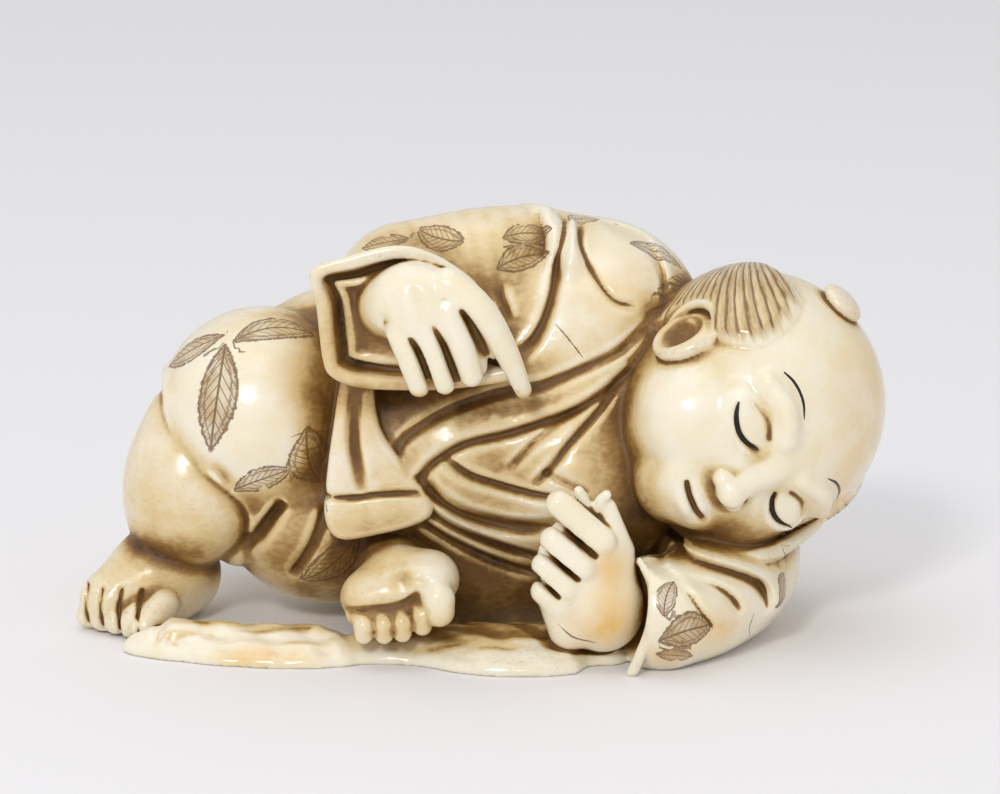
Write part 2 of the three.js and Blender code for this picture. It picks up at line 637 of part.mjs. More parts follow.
function rightSleeve(block) {
  const mouth = [[-9.5, 22.7], [-7.2, 23.6], [-4.6, 24.2], [-2.6, 23.8], [-0.9, 22.8], [0.2, 21.8],
    [1.2, 20], [2.2, 17.6], [2.2, 16.3], [-0.4, 15.75], [-3.2, 15.55], [-6.7, 15.7], [-8.4, 16.4],
    [-8.9, 17.6], [-9.2, 20.5]];
  const cuff = shrunk(mouth, SLEEVE_RIM + 0.2);
  const form = new Carving();
  const flare = { taper: SLEEVE_FLARE, start: SLEEVE_FRONT };
  form.join(slab(mouth, [SLEEVE_FRONT, 1], 0.35, flare));
  form.join(limb([[7.2, 2.5, 17.9], [2, 2, 19.3], [-4.2, 0.2, 19.6]], [5.2, 4.9, 4]), 1.8);
  form.cut(slab(shrunk(mouth, SLEEVE_RIM), [-12, SLEEVE_FRONT + 2.3], 0.3, flare), 0.15);
  form.join(slab(cuff, [SLEEVE_FRONT + 1, -5], 0.3, flare), 0.1);
  form.cut(slab(shrunk(cuff, CUFF_RIM), [-12, SLEEVE_FRONT + 2.6], 0.3, flare), 0.15);
  block.merge(form, 0.3);
}

function rightHand(block) {
  const form = new Carving();
  form.join(limb([[-5.6, -4, 20], [-5.4, -8, 20.4]], [2.3, 2.4], 0));        // wrist
  form.join(ball([-3.2, -9.2, 20.3], [2.9, 2, 3], turned([0, 20, 0])), 0.4);
  form.join(ball([-2.6, -9.6, 18.9], [2.2, 1.3, 1.7], turned([0, -25, 0])), 0.6);
  const fingers = [
    [[-4.6, -10, 19.2], [-3.2, -10.3, 16.3], 0.6],
    [[-3.1, -10.6, 19.6], [-1.7, -10.5, 16.5], 0.62],
    [[-1.6, -10.7, 20.2], [-0.2, -10.3, 16.9], 0.66],
  ];
  fingers.forEach(([root, tip, girth]) => {
    const joint = V(root).lerp(V(tip), 0.5).add(new THREE.Vector3(0.05, -0.25, 0.1));
    form.join(limb([root, joint, tip], [girth * 1.1, girth * 1.1, girth * 0.95], 4), 0.2);
  });
  form.join(limb([[-1.5, -10, 22], [0.3, -10.5, 20.7], [1.6, -10.1, 18.4], [2.7, -9.5, 15.8]],
    [1.1, 0.85, 0.72, 0.5], 4), 0.3);                              // the long forefinger
  const gap = { width: 0.38, depth: 0.6, span: [6, 14] };
  form.score([[-3.6, 18.6], [-2.4, 16.2]], gap);
  form.score([[-2.4, 19.4], [-0.9, 16.4]], gap);
  form.score([[-0.8, 20.5], [1.1, 16.4]], gap);
  block.merge(form, 0.1);
}

function leftSleeve(block) {
  const form = new Carving();
  const fold = { width: 0.45, depth: 0.4, span: [6, 15] };
  form.join(limb([[14, 1, 5.5], [15, -3.5, 3.9], [13.2, -7.9, 3.2], [10.6, -10.5, 3]],
    [4.6, 4, 3.5, 3.4]));
  form.join(ball([12.9, 1.5, 7], [6.2, 6.5, 5.5]), 1.5);           // elbow and pillow of cloth
  form.join(ball([16.7, -7.6, 3.2], [1.1, 1.6, 1.2]), 0.8);        // the folds bunch at the elbow
  form.score([[7.4, 7.2], [8.9, 7.1], [11.8, 6.2], [14.7, 5.2], [16.4, 4.1], [17, 2.6]],
    { width: 0.5, depth: 0.6, lap: 0.35, reach: 1.3, span: [3, 15] });
  form.score([[9.3, 6.5], [11.3, 5.8], [13.5, 4.8], [14.5, 4], [15.2, 3]], fold);
  form.score([[9.9, 6.2], [11.7, 5.2], [12.8, 3.7], [13.7, 2.4]], { ...fold, depth: 0.3, lap: 0.18 });
  form.join(ball([9.9, -10.6, 3], [1.5, 2.6, 3.7], turned([0, 0, -42])), 0.35);
  form.cut(ball([8.1, -12.1, 3.2], [2.3, 2.4, 3.3], turned([0, 0, -42])), 0.12);
  form.score([[10.7, 6.6], [11.2, 4.2], [10.7, 1.9], [9.7, 0.2]], { ...fold, width: 0.35, lap: 0.12 });
  block.merge(form, 0.35);
}

function leftHand(block) {
  const form = new Carving();
  form.join(ball([6.9, -11.2, 3.9], [2.6, 1.8, 3.1], turned([0, -22, 0])));
  form.join(ball([7.2, -10.9, 6.4], [1.7, 1.5, 2.2], turned([0, -30, 0])), 0.6);
  form.join(limb([[7, -11.3, 7.1], [4.9, -11.5, 4.2]], [1.15, 1], 0), 0.5);   // knuckles
  form.join(limb([[4.4, -11.5, 4.3], [5.8, -11.3, 2.5]], [0.85, 1.2], 0), 0.5);  // edge of the hand
  form.join(ball([5.7, -10.3, 6.6], [2, 1.1, 2.7], turned([0, 38, 0])), 0.3);    // palm behind
  const fingers = [
    [[7.1, -12, 7.6], [4.6, -11.4, 9.8], 0.8],
    [[6, -12.3, 6.2], [3.9, -11.9, 8], 0.76],
    [[5.1, -12.3, 5], [3.65, -12, 6.3], 0.72],
    [[4.7, -12, 3.8], [3.55, -11.9, 4.85], 0.62],
  ];
  fingers.forEach(([root, tip, girth]) => form.join(limb([root, tip], [girth + 0.08, girth], 0), 0.1));
  form.join(limb([[8, -10.9, 6.8], [7.4, -10.5, 9.2]], [1, 0.6], 0), 0.3);    // thumb
  form.join(limb([[6.4, -10.6, 8.6], [6, -11, 10.1]], [0.5, 0.4], 0), 0.1);   // stalk it pinches
  form.join(limb([[6.6, -10.6, 8.6], [7.1, -10.9, 9.8]], [0.5, 0.4], 0), 0.1);
  const gap = { width: 0.36, depth: 0.8, span: [9, 14], fade: 0 };
  form.score([[4, 9], [6.9, 6.8]], gap);
  form.score([[3.5, 7.4], [5.9, 5.5]], gap);
  form.score([[3, 5.8], [4.8, 4.4]], gap);
  block.merge(form, 0.08);
}

function face(form) {
  const eyes = [-1, 1];
  eyes.forEach((s) => {
    form.cut(ball(onHead(EYE_UP + 0.1, EYE_OUT * s, 8.2), [1.1, 2, 1], HEAD_AXES), 1);
    form.join(ball(onHead(EYE_UP, EYE_OUT * s, 6.3), [1.05, 1.75, 0.95], HEAD_AXES), 0.5);
    form.join(limb([onHead(1.5, 1.5 * s, 7.4), onHead(2.1, 3.1 * s, 7), onHead(1.7, 4.8 * s, 5.9)],
      [0.4, 0.5, 0.4]), 0.8);                                      // brow
  });
  form.join(limb([onHead(0.6, 0, 7.2), onHead(-1.4, 0, 7.6), onHead(NOSE_UP + 0.5, 0, 7.9)],
    [0.55, 0.6, 0.75]), 0.7);
  form.join(ball(onHead(NOSE_UP + 0.35, 0, 8), [0.7, 0.85, 0.75], HEAD_AXES), 0.4);
  eyes.forEach((s) => form.join(
    ball(onHead(NOSE_UP + 0.25, 0.9 * s, 7.6), [0.5, 0.5, 0.6], HEAD_AXES), 0.3));
  form.join(ball(onHead(MOUTH_UP, 0, 6.5), [1.5, 2.3, 1], HEAD_AXES), 0.8);   // round the mouth
  form.join(limb([-1.35, -0.5, 0, 0.5, 1.35].map((s) => onHead(MOUTH_UP + 0.42, s, 7.45 - 0.2 * s * s)),
    [0.22, 0.38, 0.36, 0.38, 0.22]), 0.25);
  form.join(limb([-1.2, 0, 1.2].map((s) => onHead(MOUTH_UP - 0.45, s, 7.3 - 0.2 * s * s)),
    [0.25, 0.48, 0.25]), 0.25);
  const line = (s, out, lift) => [out * s, EYE_UP + lift];
  form.score([-1.55, -0.7, 0, 0.7, 1.55].map((s) => [s, MOUTH_UP + 0.09 * s * s]),
    { width: 0.32, depth: 0.35, plane: FACE, span: [4, 10] });
  eyes.forEach((s) => {
    form.score([line(s, 1.45, 0.05), line(s, 2.2, -0.42), line(s, 3, -0.6), line(s, 3.9, -0.42),
      line(s, 4.65, 0.02)], { width: 0.32, depth: 0.34, plane: FACE, span: [3, 10] });
    form.score([line(s, 1.75, 0.7), line(s, 3, 1.1), line(s, 4.4, 0.7)],
      { width: 0.35, depth: 0.14, plane: FACE, span: [3, 10] });
  });
}

function head(block) {
  const form = new Carving();
  form.join(ball(onHead(0.8, 0, -0.2), SKULL, HEAD_AXES));
  form.join(ball(onHead(-2.4, 0, 1.8), [5.7, 6.3, 5.6], HEAD_AXES), 2);
  [-1, 1].forEach((s) => form.join(ball(onHead(-3.3, 3.2 * s, 3.9), [3, 3, 2.9], HEAD_AXES), 1.2));
  form.join(ball(onHead(-6.1, 0, 4.9), [1.8, 2.1, 1.9], HEAD_AXES), 1);       // chin
  face(form);
  [-1, 1].forEach((s) => form.swell([[2.8, -0.2], [3.9, 1.5], [3.6, 2.9], [2.6, 4.1], [0.8, 4.9],
    [-1.6, 4.6], [-4.2, 3.2], [-5.8, 0.6], [-6.2, -2.4], [-5.4, -4.6], [-3.2, -4.9], [-1.2, -3.8],
    [-0.8, -1.6], [0.6, 0.2]], { height: 0.55, plane: temple(s), span: [1.5, 10] }));  // side locks
  block.merge(form, 0.25);
  [-1, 1].forEach((s) => ear(block, s));
  block.join(limb([[15, -8.8, 5.8], [16.2, -8.1, 5.6], [17.2, -7, 5.6], [18.3, -5.9, 5.9],
    [19.4, -5.2, 6.4], [20.3, -4.8, 7.1]], [0.35, 0.5, 0.55, 0.5, 0.4, 0.3]), 0.15);  // the ear lain upon
  const button = [crownward.clone().multiplyScalar(0.9).addScaledVector(sideward, 0.45).normalize(),
    sideward.clone().multiplyScalar(0.9).addScaledVector(crownward, -0.45).normalize(), forward];
  block.join(ball(onHead(7.2, 3.9, -0.6), [0.55, 1.35, 1.4], button), 0.2);    // topknot
}

// A raised rim round a bowl, open towards the lobe.
function ear(block, side) {
  const [earFront, earUp] = [1.6, -1.7];
  const rim = (rise, ahead, lift) => {                             // a point over the side of the skull
    const left = 1 - ((earUp + rise - 0.8) / SKULL[0]) ** 2 - ((earFront + ahead + 0.2) / SKULL[2]) ** 2;
    return onHead(earUp + rise, side * (SKULL[1] * Math.sqrt(left) + lift), earFront + ahead);
  };
  const form = new Carving();
  form.join(ball(onHead(earUp - 0.1, 6.9 * side, earFront), [2.1, 0.85, 1.95], HEAD_AXES));
  form.cut(ball(onHead(earUp - 0.5, 8 * side, earFront), [1.75, 1.15, 1.45], HEAD_AXES), 0.2);
  form.join(limb([rim(-1.7, -0.9, 0.1), rim(-1, -1.6, 0.3), rim(0.1, -1.95, 0.35), rim(1.2, -1.6, 0.35),
    rim(1.85, -0.6, 0.35), rim(1.8, 0.5, 0.3), rim(1.1, 1.4, 0.25), rim(0.2, 1.8, 0.1)],
  [0.25, 0.33, 0.36, 0.36, 0.36, 0.36, 0.33, 0.25], 3), 0.12);
  block.merge(form, 0.15);
}

function leftFoot(block) {
  const form = new Carving();
  form.join(ball([-4.6, -9.4, 4.4], [3, 2.3, 1.9], turned([0, -18, 0])));     // sole
  form.join(ball([-2.7, -9.6, 4.8], [1.7, 2.2, 1.6]), 0.8);                   // ball of the foot
  form.join(ball([-6.3, -9.5, 3.8], [1.5, 2, 1.5]), 0.8);
  form.join(limb([[-5, -4, 4.4], [-4.6, -8, 4.5]], [2.4, 2.1], 0), 1);
  form.cut(ball([-4.4, -12.1, 5.4], [0.8, 0.9, 0.9]), 0.9);                   // hollow of the sole
  form.score([[-7.9, 2.8], [-7, 3], [-5.9, 3.3], [-4.7, 3.6], [-3.6, 4.1], [-3, 4.9]],
    { width: 0.42, depth: 0.3, span: [9, 14] });
  form.join(ball([-5.4, -10.6, 2.6], [2.6, 1.1, 1.3], turned([0, 6, 0])), 0.3);  // roots of the toes
  form.join(limb([[-2.4, -11, 4.8], [-2.2, -11.7, 4.2], [-2.1, -11.9, 3.6]], [0.8, 0.88, 0.82], 0),
    0.3);
  for (let toe = 0; toe < 4; toe += 1) {
    const [x, z] = [-3.6 - 1.08 * toe, 3.5 - 0.2 * toe];
    form.join(limb([[x, -11.1, z], [x + 0.15, -11.8, z - 0.5], [x + 0.35, -11.8, z - 1]],
      [0.45, 0.56, 0.5], 0), 0.08);
  }
  block.merge(form, 0.12);
}

// A leaf of two lobes under the figure, that thickens from its edge inwards.
function leafBase(block) {
  const lobes = [
    [[-20.6, -8.2], [-18.2, -6.6], [-13, -5.9], [-8.5, -6.4], [-6.8, -8.5], [-6.6, -11],
      [-9.5, -12], [-14, -11.6], [-18.2, -10.3]],
    [[-8, -8], [-3, -6], [4, -6], [8, -8], [8.7, -10], [8.2, -11.2], [6.4, -11.7], [5.7, -12.9],
      [4.2, -13.4], [2, -13.5], [0, -13.2], [-1.5, -12.6], [-2.8, -11.8], [-5, -11.2], [-8, -11]],
  ];
  const steps = [[0, 0.4], [0.8, 0.68], [1.8, 0.86], [3, 1]];      // inset, share of the height
  lobes.forEach((outline) => {
    const form = new Carving();
    steps.forEach(([inset, height]) => form.join(
      slab(shrunk(outline, inset), [-2, height * LEAF_TOP], 0.6, { onGround: true }), 0.7));
    block.merge(form, 0.15);
  });
}

// Leaves a little stock under the ground, for the flat to be cut through.
function trimStock(block) {
  const whole = new THREE.Box3(new THREE.Vector3(...BLOCK_LOW), new THREE.Vector3(...BLOCK_HIGH));
  block.each(whole, 0, (at, x, y, z) => {
    block.value[at] = Math.max(block.value[at], -SOLE_DEPTH - z);
  });
}

// ---- cutting: the flat underside and the cord channel --------------------------------------
const wasm = await Module();
wasm.setup();

function toManifold(geometry) {
  const bare = geometry.clone();
  bare.deleteAttribute('normal');
  bare.deleteAttribute('uv');
  const merged = mergeVertices(bare, 1e-4);
  return new wasm.Manifold(new wasm.Mesh({
    numProp: 3,
    vertProperties: new Float32Array(merged.attributes.position.array),
    triVerts: new Uint32Array(merged.index.array),
  }));
}

function toGeometry(solid) {
  const mesh = solid.getMesh();
  const geometry = new THREE.BufferGeometry();
  geometry.setAttribute('position', new THREE.BufferAttribute(mesh.vertProperties, 3));
  geometry.setIndex(new THREE.BufferAttribute(mesh.triVerts, 1));
  return geometry;
}

function meshGeometry({ points, triangles }) {
  const geometry = new THREE.BufferGeometry();
  const places = new Float32Array(points.flatMap((p) => p.toArray()));
  geometry.setAttribute('position', new THREE.BufferAttribute(places, 3));
  geometry.setIndex(triangles.flat());
  return geometry;
}

function carveFigure() {
  const block = new Carving();
  robedBody(block);
  frontFolds(block);
  shoulderFolds(block);
  backFolds(block);
  seat(block);
  robeCorner(block);
  rightLeg(block);
  rightSleeve(block);
  rightHand(block);
  leftSleeve(block);
  leftHand(block);
  head(block);
  leftFoot(block);
  leafBase(block);
  trimStock(block);
  block.fillPockets();
  return thin(surface(block), FACETS);
}

// The two joined holes that the carrying cord is threaded through.
function cordChannel() {
  const bend = new THREE.CatmullRomCurve3([
    new THREE.Vector3(-CORD_SPREAD - 0.6, 14, CORD_HEIGHT),
    new THREE.Vector3(-CORD_SPREAD, 10, CORD_HEIGHT),
    new THREE.Vector3(0, CORD_DEPTH, CORD_HEIGHT),
    new THREE.Vector3(CORD_SPREAD, 10, CORD_HEIGHT),
    new THREE.Vector3(CORD_SPREAD + 0.6, 14, CORD_HEIGHT),
  ]);
  const round = new THREE.Shape().absarc(0, 0, CORD_BORE, 0, 2 * Math.PI, false);
  return new THREE.ExtrudeGeometry(round, { extrudePath: bend, steps: 16, curveSegments: 10 });
}

function finished() {
  const groundSize = [60, 40, 4];
  const ground = new THREE.BoxGeometry(...groundSize).translate(0, 0, -groundSize[2] / 2);
  const carved = toManifold(meshGeometry(carveFigure()))
    .subtract(toManifold(ground))
    .subtract(toManifold(cordChannel()));
  return toGeometry(carved).translate(-MIDDLE[0], -MIDDLE[1], 0);
}

const figure = new THREE.Mesh(finished(), new THREE.MeshStandardMaterial({
  color: '#e6d9ba', roughness: 0.3, metalness: 0,
}));
figure.name = 'carved_ivory_figure';

const netsuke = new THREE.Group();
netsuke.add(figure);

export default netsuke;
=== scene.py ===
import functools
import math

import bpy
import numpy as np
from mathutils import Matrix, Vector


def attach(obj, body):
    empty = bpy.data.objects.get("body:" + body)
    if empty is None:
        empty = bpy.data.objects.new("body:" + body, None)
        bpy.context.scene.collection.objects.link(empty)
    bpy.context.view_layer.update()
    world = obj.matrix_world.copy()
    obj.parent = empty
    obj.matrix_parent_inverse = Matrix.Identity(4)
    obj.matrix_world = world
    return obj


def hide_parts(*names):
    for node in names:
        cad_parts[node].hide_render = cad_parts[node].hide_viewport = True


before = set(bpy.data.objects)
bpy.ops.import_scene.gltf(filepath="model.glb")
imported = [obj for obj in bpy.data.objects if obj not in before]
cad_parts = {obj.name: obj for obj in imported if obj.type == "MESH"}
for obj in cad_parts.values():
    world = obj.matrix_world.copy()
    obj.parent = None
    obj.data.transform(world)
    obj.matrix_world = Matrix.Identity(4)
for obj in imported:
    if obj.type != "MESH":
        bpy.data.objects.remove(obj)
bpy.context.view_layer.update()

# An ivory netsuke about 48 mm long: a boy in a loose robe lies on his belly, his cheek on his
# left sleeve, on a leaf of two lobes. It is one carved piece, so one mesh stands for it.
#
# The carving is worked in millimetres on a grid of distances: balls, limbs and slabs are joined
# with soft creases, grooves and laps are scored along lines drawn on a plane, and the surface
# is then meshed. The figure lies along X with its head at +X and looks towards -Y.

# ---- driving sizes, mm ----------------------------------------------------------------------
STEP = 0.15       # spacing of the carving grid
TRIANGLES = 192000                       # what the finished skin is thinned to
BLOCK_LOW = (-25.6, -15.2, -1.2)         # two corners of the block that is carved
BLOCK_HIGH = (25.6, 15.2, 26)
FAR = 3.0                                # distances further than this aren't kept
JOIN_PAD, CUT_PAD = 1.2, 0.6             # how far past its box a form is worked
LAP_STEP = 0.3                           # the width in which a lap drops off
SPAN_EDGE = 0.5                          # the width in which a drawn line's depth ends
ROUND = 1.5                              # how roundly a groove and a lap are shaped
HOLLOW_REACHES = (0.3, 0.8, 2.0)         # how far round a point its hollow is felt
MIDDLE = (0.15, -1.1)                    # the middle of the figure's box, put at the origin

HEAD = np.array([16, -3.2, 13.4])        # the head's middle
HEAD_LEAN = 22                           # degrees that the crown points up from +X
HEAD_BOW = 18                            # degrees that the face is bowed to the ground
SKULL = (7.1, 7.5, 7.7)                  # half height, half width, half depth
SKULL_AT = (0.8, 0, -0.2)                # the skull's middle, in the head's directions
EAR_UP, EAR_FRONT = -1.7, 1.6            # the ear's middle, up and forwards from the head's
EYE_UP, EYE_OUT = -0.3, 3.0              # the eyes are half way up the head
NOSE_UP = -3.0                           # the nose ends half way from eyes to chin
MOUTH_UP = -4.9
COMBED_FROM = (-7.6, 3.4)                # the hair is combed forwards from here, at the back
HAIR_OVER, PAST_LOCK = 1.1, 1.2          # how far over the skull and round the lock hair is looked for

SLEEVE_FRONT = -8.9                      # the right sleeve's mouth lies on this depth
SLEEVE_RIM = 0.8                         # the sleeve's wall at its mouth
SLEEVE_FLARE = 0.3                       # how fast the sleeve widens to its mouth
CUFF_RIM = 0.45                          # the cuff's wall, inside the sleeve's
LEAF_TOP = 1.85                          # the leaf's height above the ground
CORD_BORE, CORD_SPREAD = 1.2, 4.2        # the cord channel's radius, and half from hole to hole
CORD_HEIGHT, CORD_DEPTH = 12.4, 6.6      # its height, and where its bend lies
MM = 0.001                               # a millimetre, in the scene's metres


# ---- lines and forms --------------------------------------------------------------------------
def unit(v):
    v = np.asarray(v, float)
    return v / np.linalg.norm(v)


def smooth(points, per_span=6, closed=False):
    """Points on a smooth line through the given points."""
    p = np.asarray(points, float)
    count = len(p)
    if closed:
        p = np.vstack([p[-1], p, p[0], p[1]])
    else:
        p = np.vstack([2 * p[0] - p[1], p, 2 * p[-1] - p[-2]])
    t = np.linspace(0, 1, per_span, endpoint=False)[:, None]
    line = []
    for i in range(1, count + (1 if closed else 0)):
        a, b, c, d = p[i - 1], p[i], p[i + 1], p[i + 2]
        line.append(0.5 * (2 * b + (c - a) * t + (2 * a - 5 * b + 4 * c - d) * t ** 2
                           + (3 * b - a - 3 * c + d) * t ** 3))
    line = np.vstack(line)
    return line if closed else np.vstack([line, p[-2]])


def turned(rx=0, ry=0, rz=0):
    """The three directions of a form turned by degrees about x, y and z."""
    (cx, sx), (cy, sy), (cz, sz) = ((math.cos(a), math.sin(a)) for a in map(math.radians, (rx, ry, rz)))
    about_x = np.array([[1, 0, 0], [0, cx, -sx], [0, sx, cx]])
    about_y = np.array([[cy, 0, sy], [0, 1, 0], [-sy, 0, cy]])
    about_z = np.array([[cz, -sz, 0], [sz, cz, 0], [0, 0, 1]])
    return (about_z @ about_y @ about_x).T


def ball(centre, radii, axes=turned()):
    """An egg shape: its distance, and the low and high corners of its box."""
    c, r, axes = np.asarray(centre, float), np.asarray(radii, float), np.asarray(axes)
    reach = np.sqrt(((axes * r[:, None]) ** 2).sum(0))

    def distance(x, y, z):
        near, steep = 0, 0
        for axis, radius in zip(axes, r):
            q = (axis[0] * (x - c[0]) + axis[1] * (y - c[1]) + axis[2] * (z - c[2])) / radius
            near = near + q ** 2
            steep = steep + (q / radius) ** 2
        near = np.sqrt(near)
        return near * (near - 1) / np.maximum(np.sqrt(steep), 1e-6)

    return distance, c - reach, c + reach


def limb(points, radii, per_span=6):
    """A round limb along a line, with a radius at each of its points."""
    stations = np.column_stack([np.asarray(points, float), radii])
    if per_span and len(stations) > 2:
        stations = smooth(stations, per_span)
    widest = stations[:, 3].max()

    def distance(x, y, z):
        best = np.float32(1e3)
        for a, b in zip(stations[:-1], stations[1:]):
            e = b[:3] - a[:3]
            px, py, pz = x - a[0], y - a[1], z - a[2]
            t = np.clip((px * e[0] + py * e[1] + pz * e[2]) / max(e @ e, 1e-9), 0, 1)
            gap = np.sqrt((px - t * e[0]) ** 2 + (py - t * e[1]) ** 2 + (pz - t * e[2]) ** 2)
            best = np.minimum(best, gap - a[3] - t * (b[3] - a[3]))
        return best

    return distance, stations[:, :3].min(0) - widest, stations[:, :3].max(0) + widest


def outline_distance(u, v, outline):
    """Signed distance to a closed outline in its plane, negative inside."""
    best = np.full(np.broadcast(u, v).shape, 1e6, np.float32)
    inside = np.zeros(best.shape, bool)
    for a, b in zip(outline, np.roll(outline, -1, axis=0)):
        e = b - a
        t = np.clip(((u - a[0]) * e[0] + (v - a[1]) * e[1]) / max(e @ e, 1e-9), 0, 1)
        best = np.minimum(best, (u - a[0] - t * e[0]) ** 2 + (v - a[1] - t * e[1]) ** 2)
        if a[1] != b[1]:
            inside ^= ((a[1] > v) != (b[1] > v)) & (u < e[0] * (v - a[1]) / e[1] + a[0])
    return np.where(inside, -1, 1) * np.sqrt(best)


def slab(corners, span, rounding, on_ground=False, taper=0.0, start=0.0):
    """A rounded slab: an outline on the front or the ground, carried from one depth to another."""
    outline = smooth(corners, 4, closed=True)
    low, high = span

    def distance(x, y, z):
        v, depth = (y, z) if on_ground else (z, y)
        side = outline_distance(x + 0 * v, v + 0 * x, outline) + rounding
        side = side + taper * (depth - start)
        end = np.abs(depth - (low + high) / 2) - (high - low) / 2 + rounding
        return (np.minimum(np.maximum(side, end), 0)
                + np.hypot(np.maximum(side, 0), np.maximum(end, 0)) - rounding)

    (u0, v0), (u1, v1) = outline.min(0), outline.max(0)
    if on_ground:
        return distance, np.array([u0, v0, low]), np.array([u1, v1, high])
    return distance, np.array([u0, low, v0]), np.array([u1, high, v1])


def soften(a, b, width):
    """The least of two distances, with a crease filled to the given width."""
    if width <= 0:
        return np.minimum(a, b)
    h = np.clip(0.5 + 0.5 * (b - a) / width, 0, 1)
    return b + (a - b) * h - width * h * (1 - h)


# A plane to draw on: a point of it, the way across it, the way up it, and the way out of it.
FRONT = (np.zeros(3), np.array([1, 0, 0]), np.array([0, 0, 1]), np.array([0, -1, 0]))
BACK = (np.zeros(3), np.array([-1, 0, 0]), np.array([0, 0, 1]), np.array([0, 1, 0]))
TOP = (np.zeros(3), np.array([1, 0, 0]), np.array([0, 1, 0]), np.array([0, 0, 1]))


def on_plane(plane, x, y, z):
    """Where points lie on a plane: across it, up it and out of it."""
    at = plane[0]
    return [(x - at[0]) * way[0] + (y - at[1]) * way[1] + (z - at[2]) * way[2] for way in plane[1:]]


def along_line(line, u, v):
    """Distance to a drawn line, the side of it (left is +1) and how far along it, 0 to 1."""
    shape = np.broadcast(u, v).shape
    best = np.full(shape, 1e6, np.float32)
    side, along = np.zeros(shape, np.float32), np.zeros(shape, np.float32)
    walked = 0.0
    for a, b in zip(line[:-1], line[1:]):
        e = b - a
        t = np.clip(((u - a[0]) * e[0] + (v - a[1]) * e[1]) / max(e @ e, 1e-9), 0, 1)
        gap = (u - a[0] - t * e[0]) ** 2 + (v - a[1] - t * e[1]) ** 2
        near = gap < best
        best = np.where(near, gap, best)
        side = np.where(near, np.sign(e[0] * (v - a[1]) - e[1] * (u - a[0])), side)
        along = np.where(near, walked + t * math.sqrt(e @ e), along)
        walked += math.sqrt(e @ e)
    return np.sqrt(best), side, along / walked


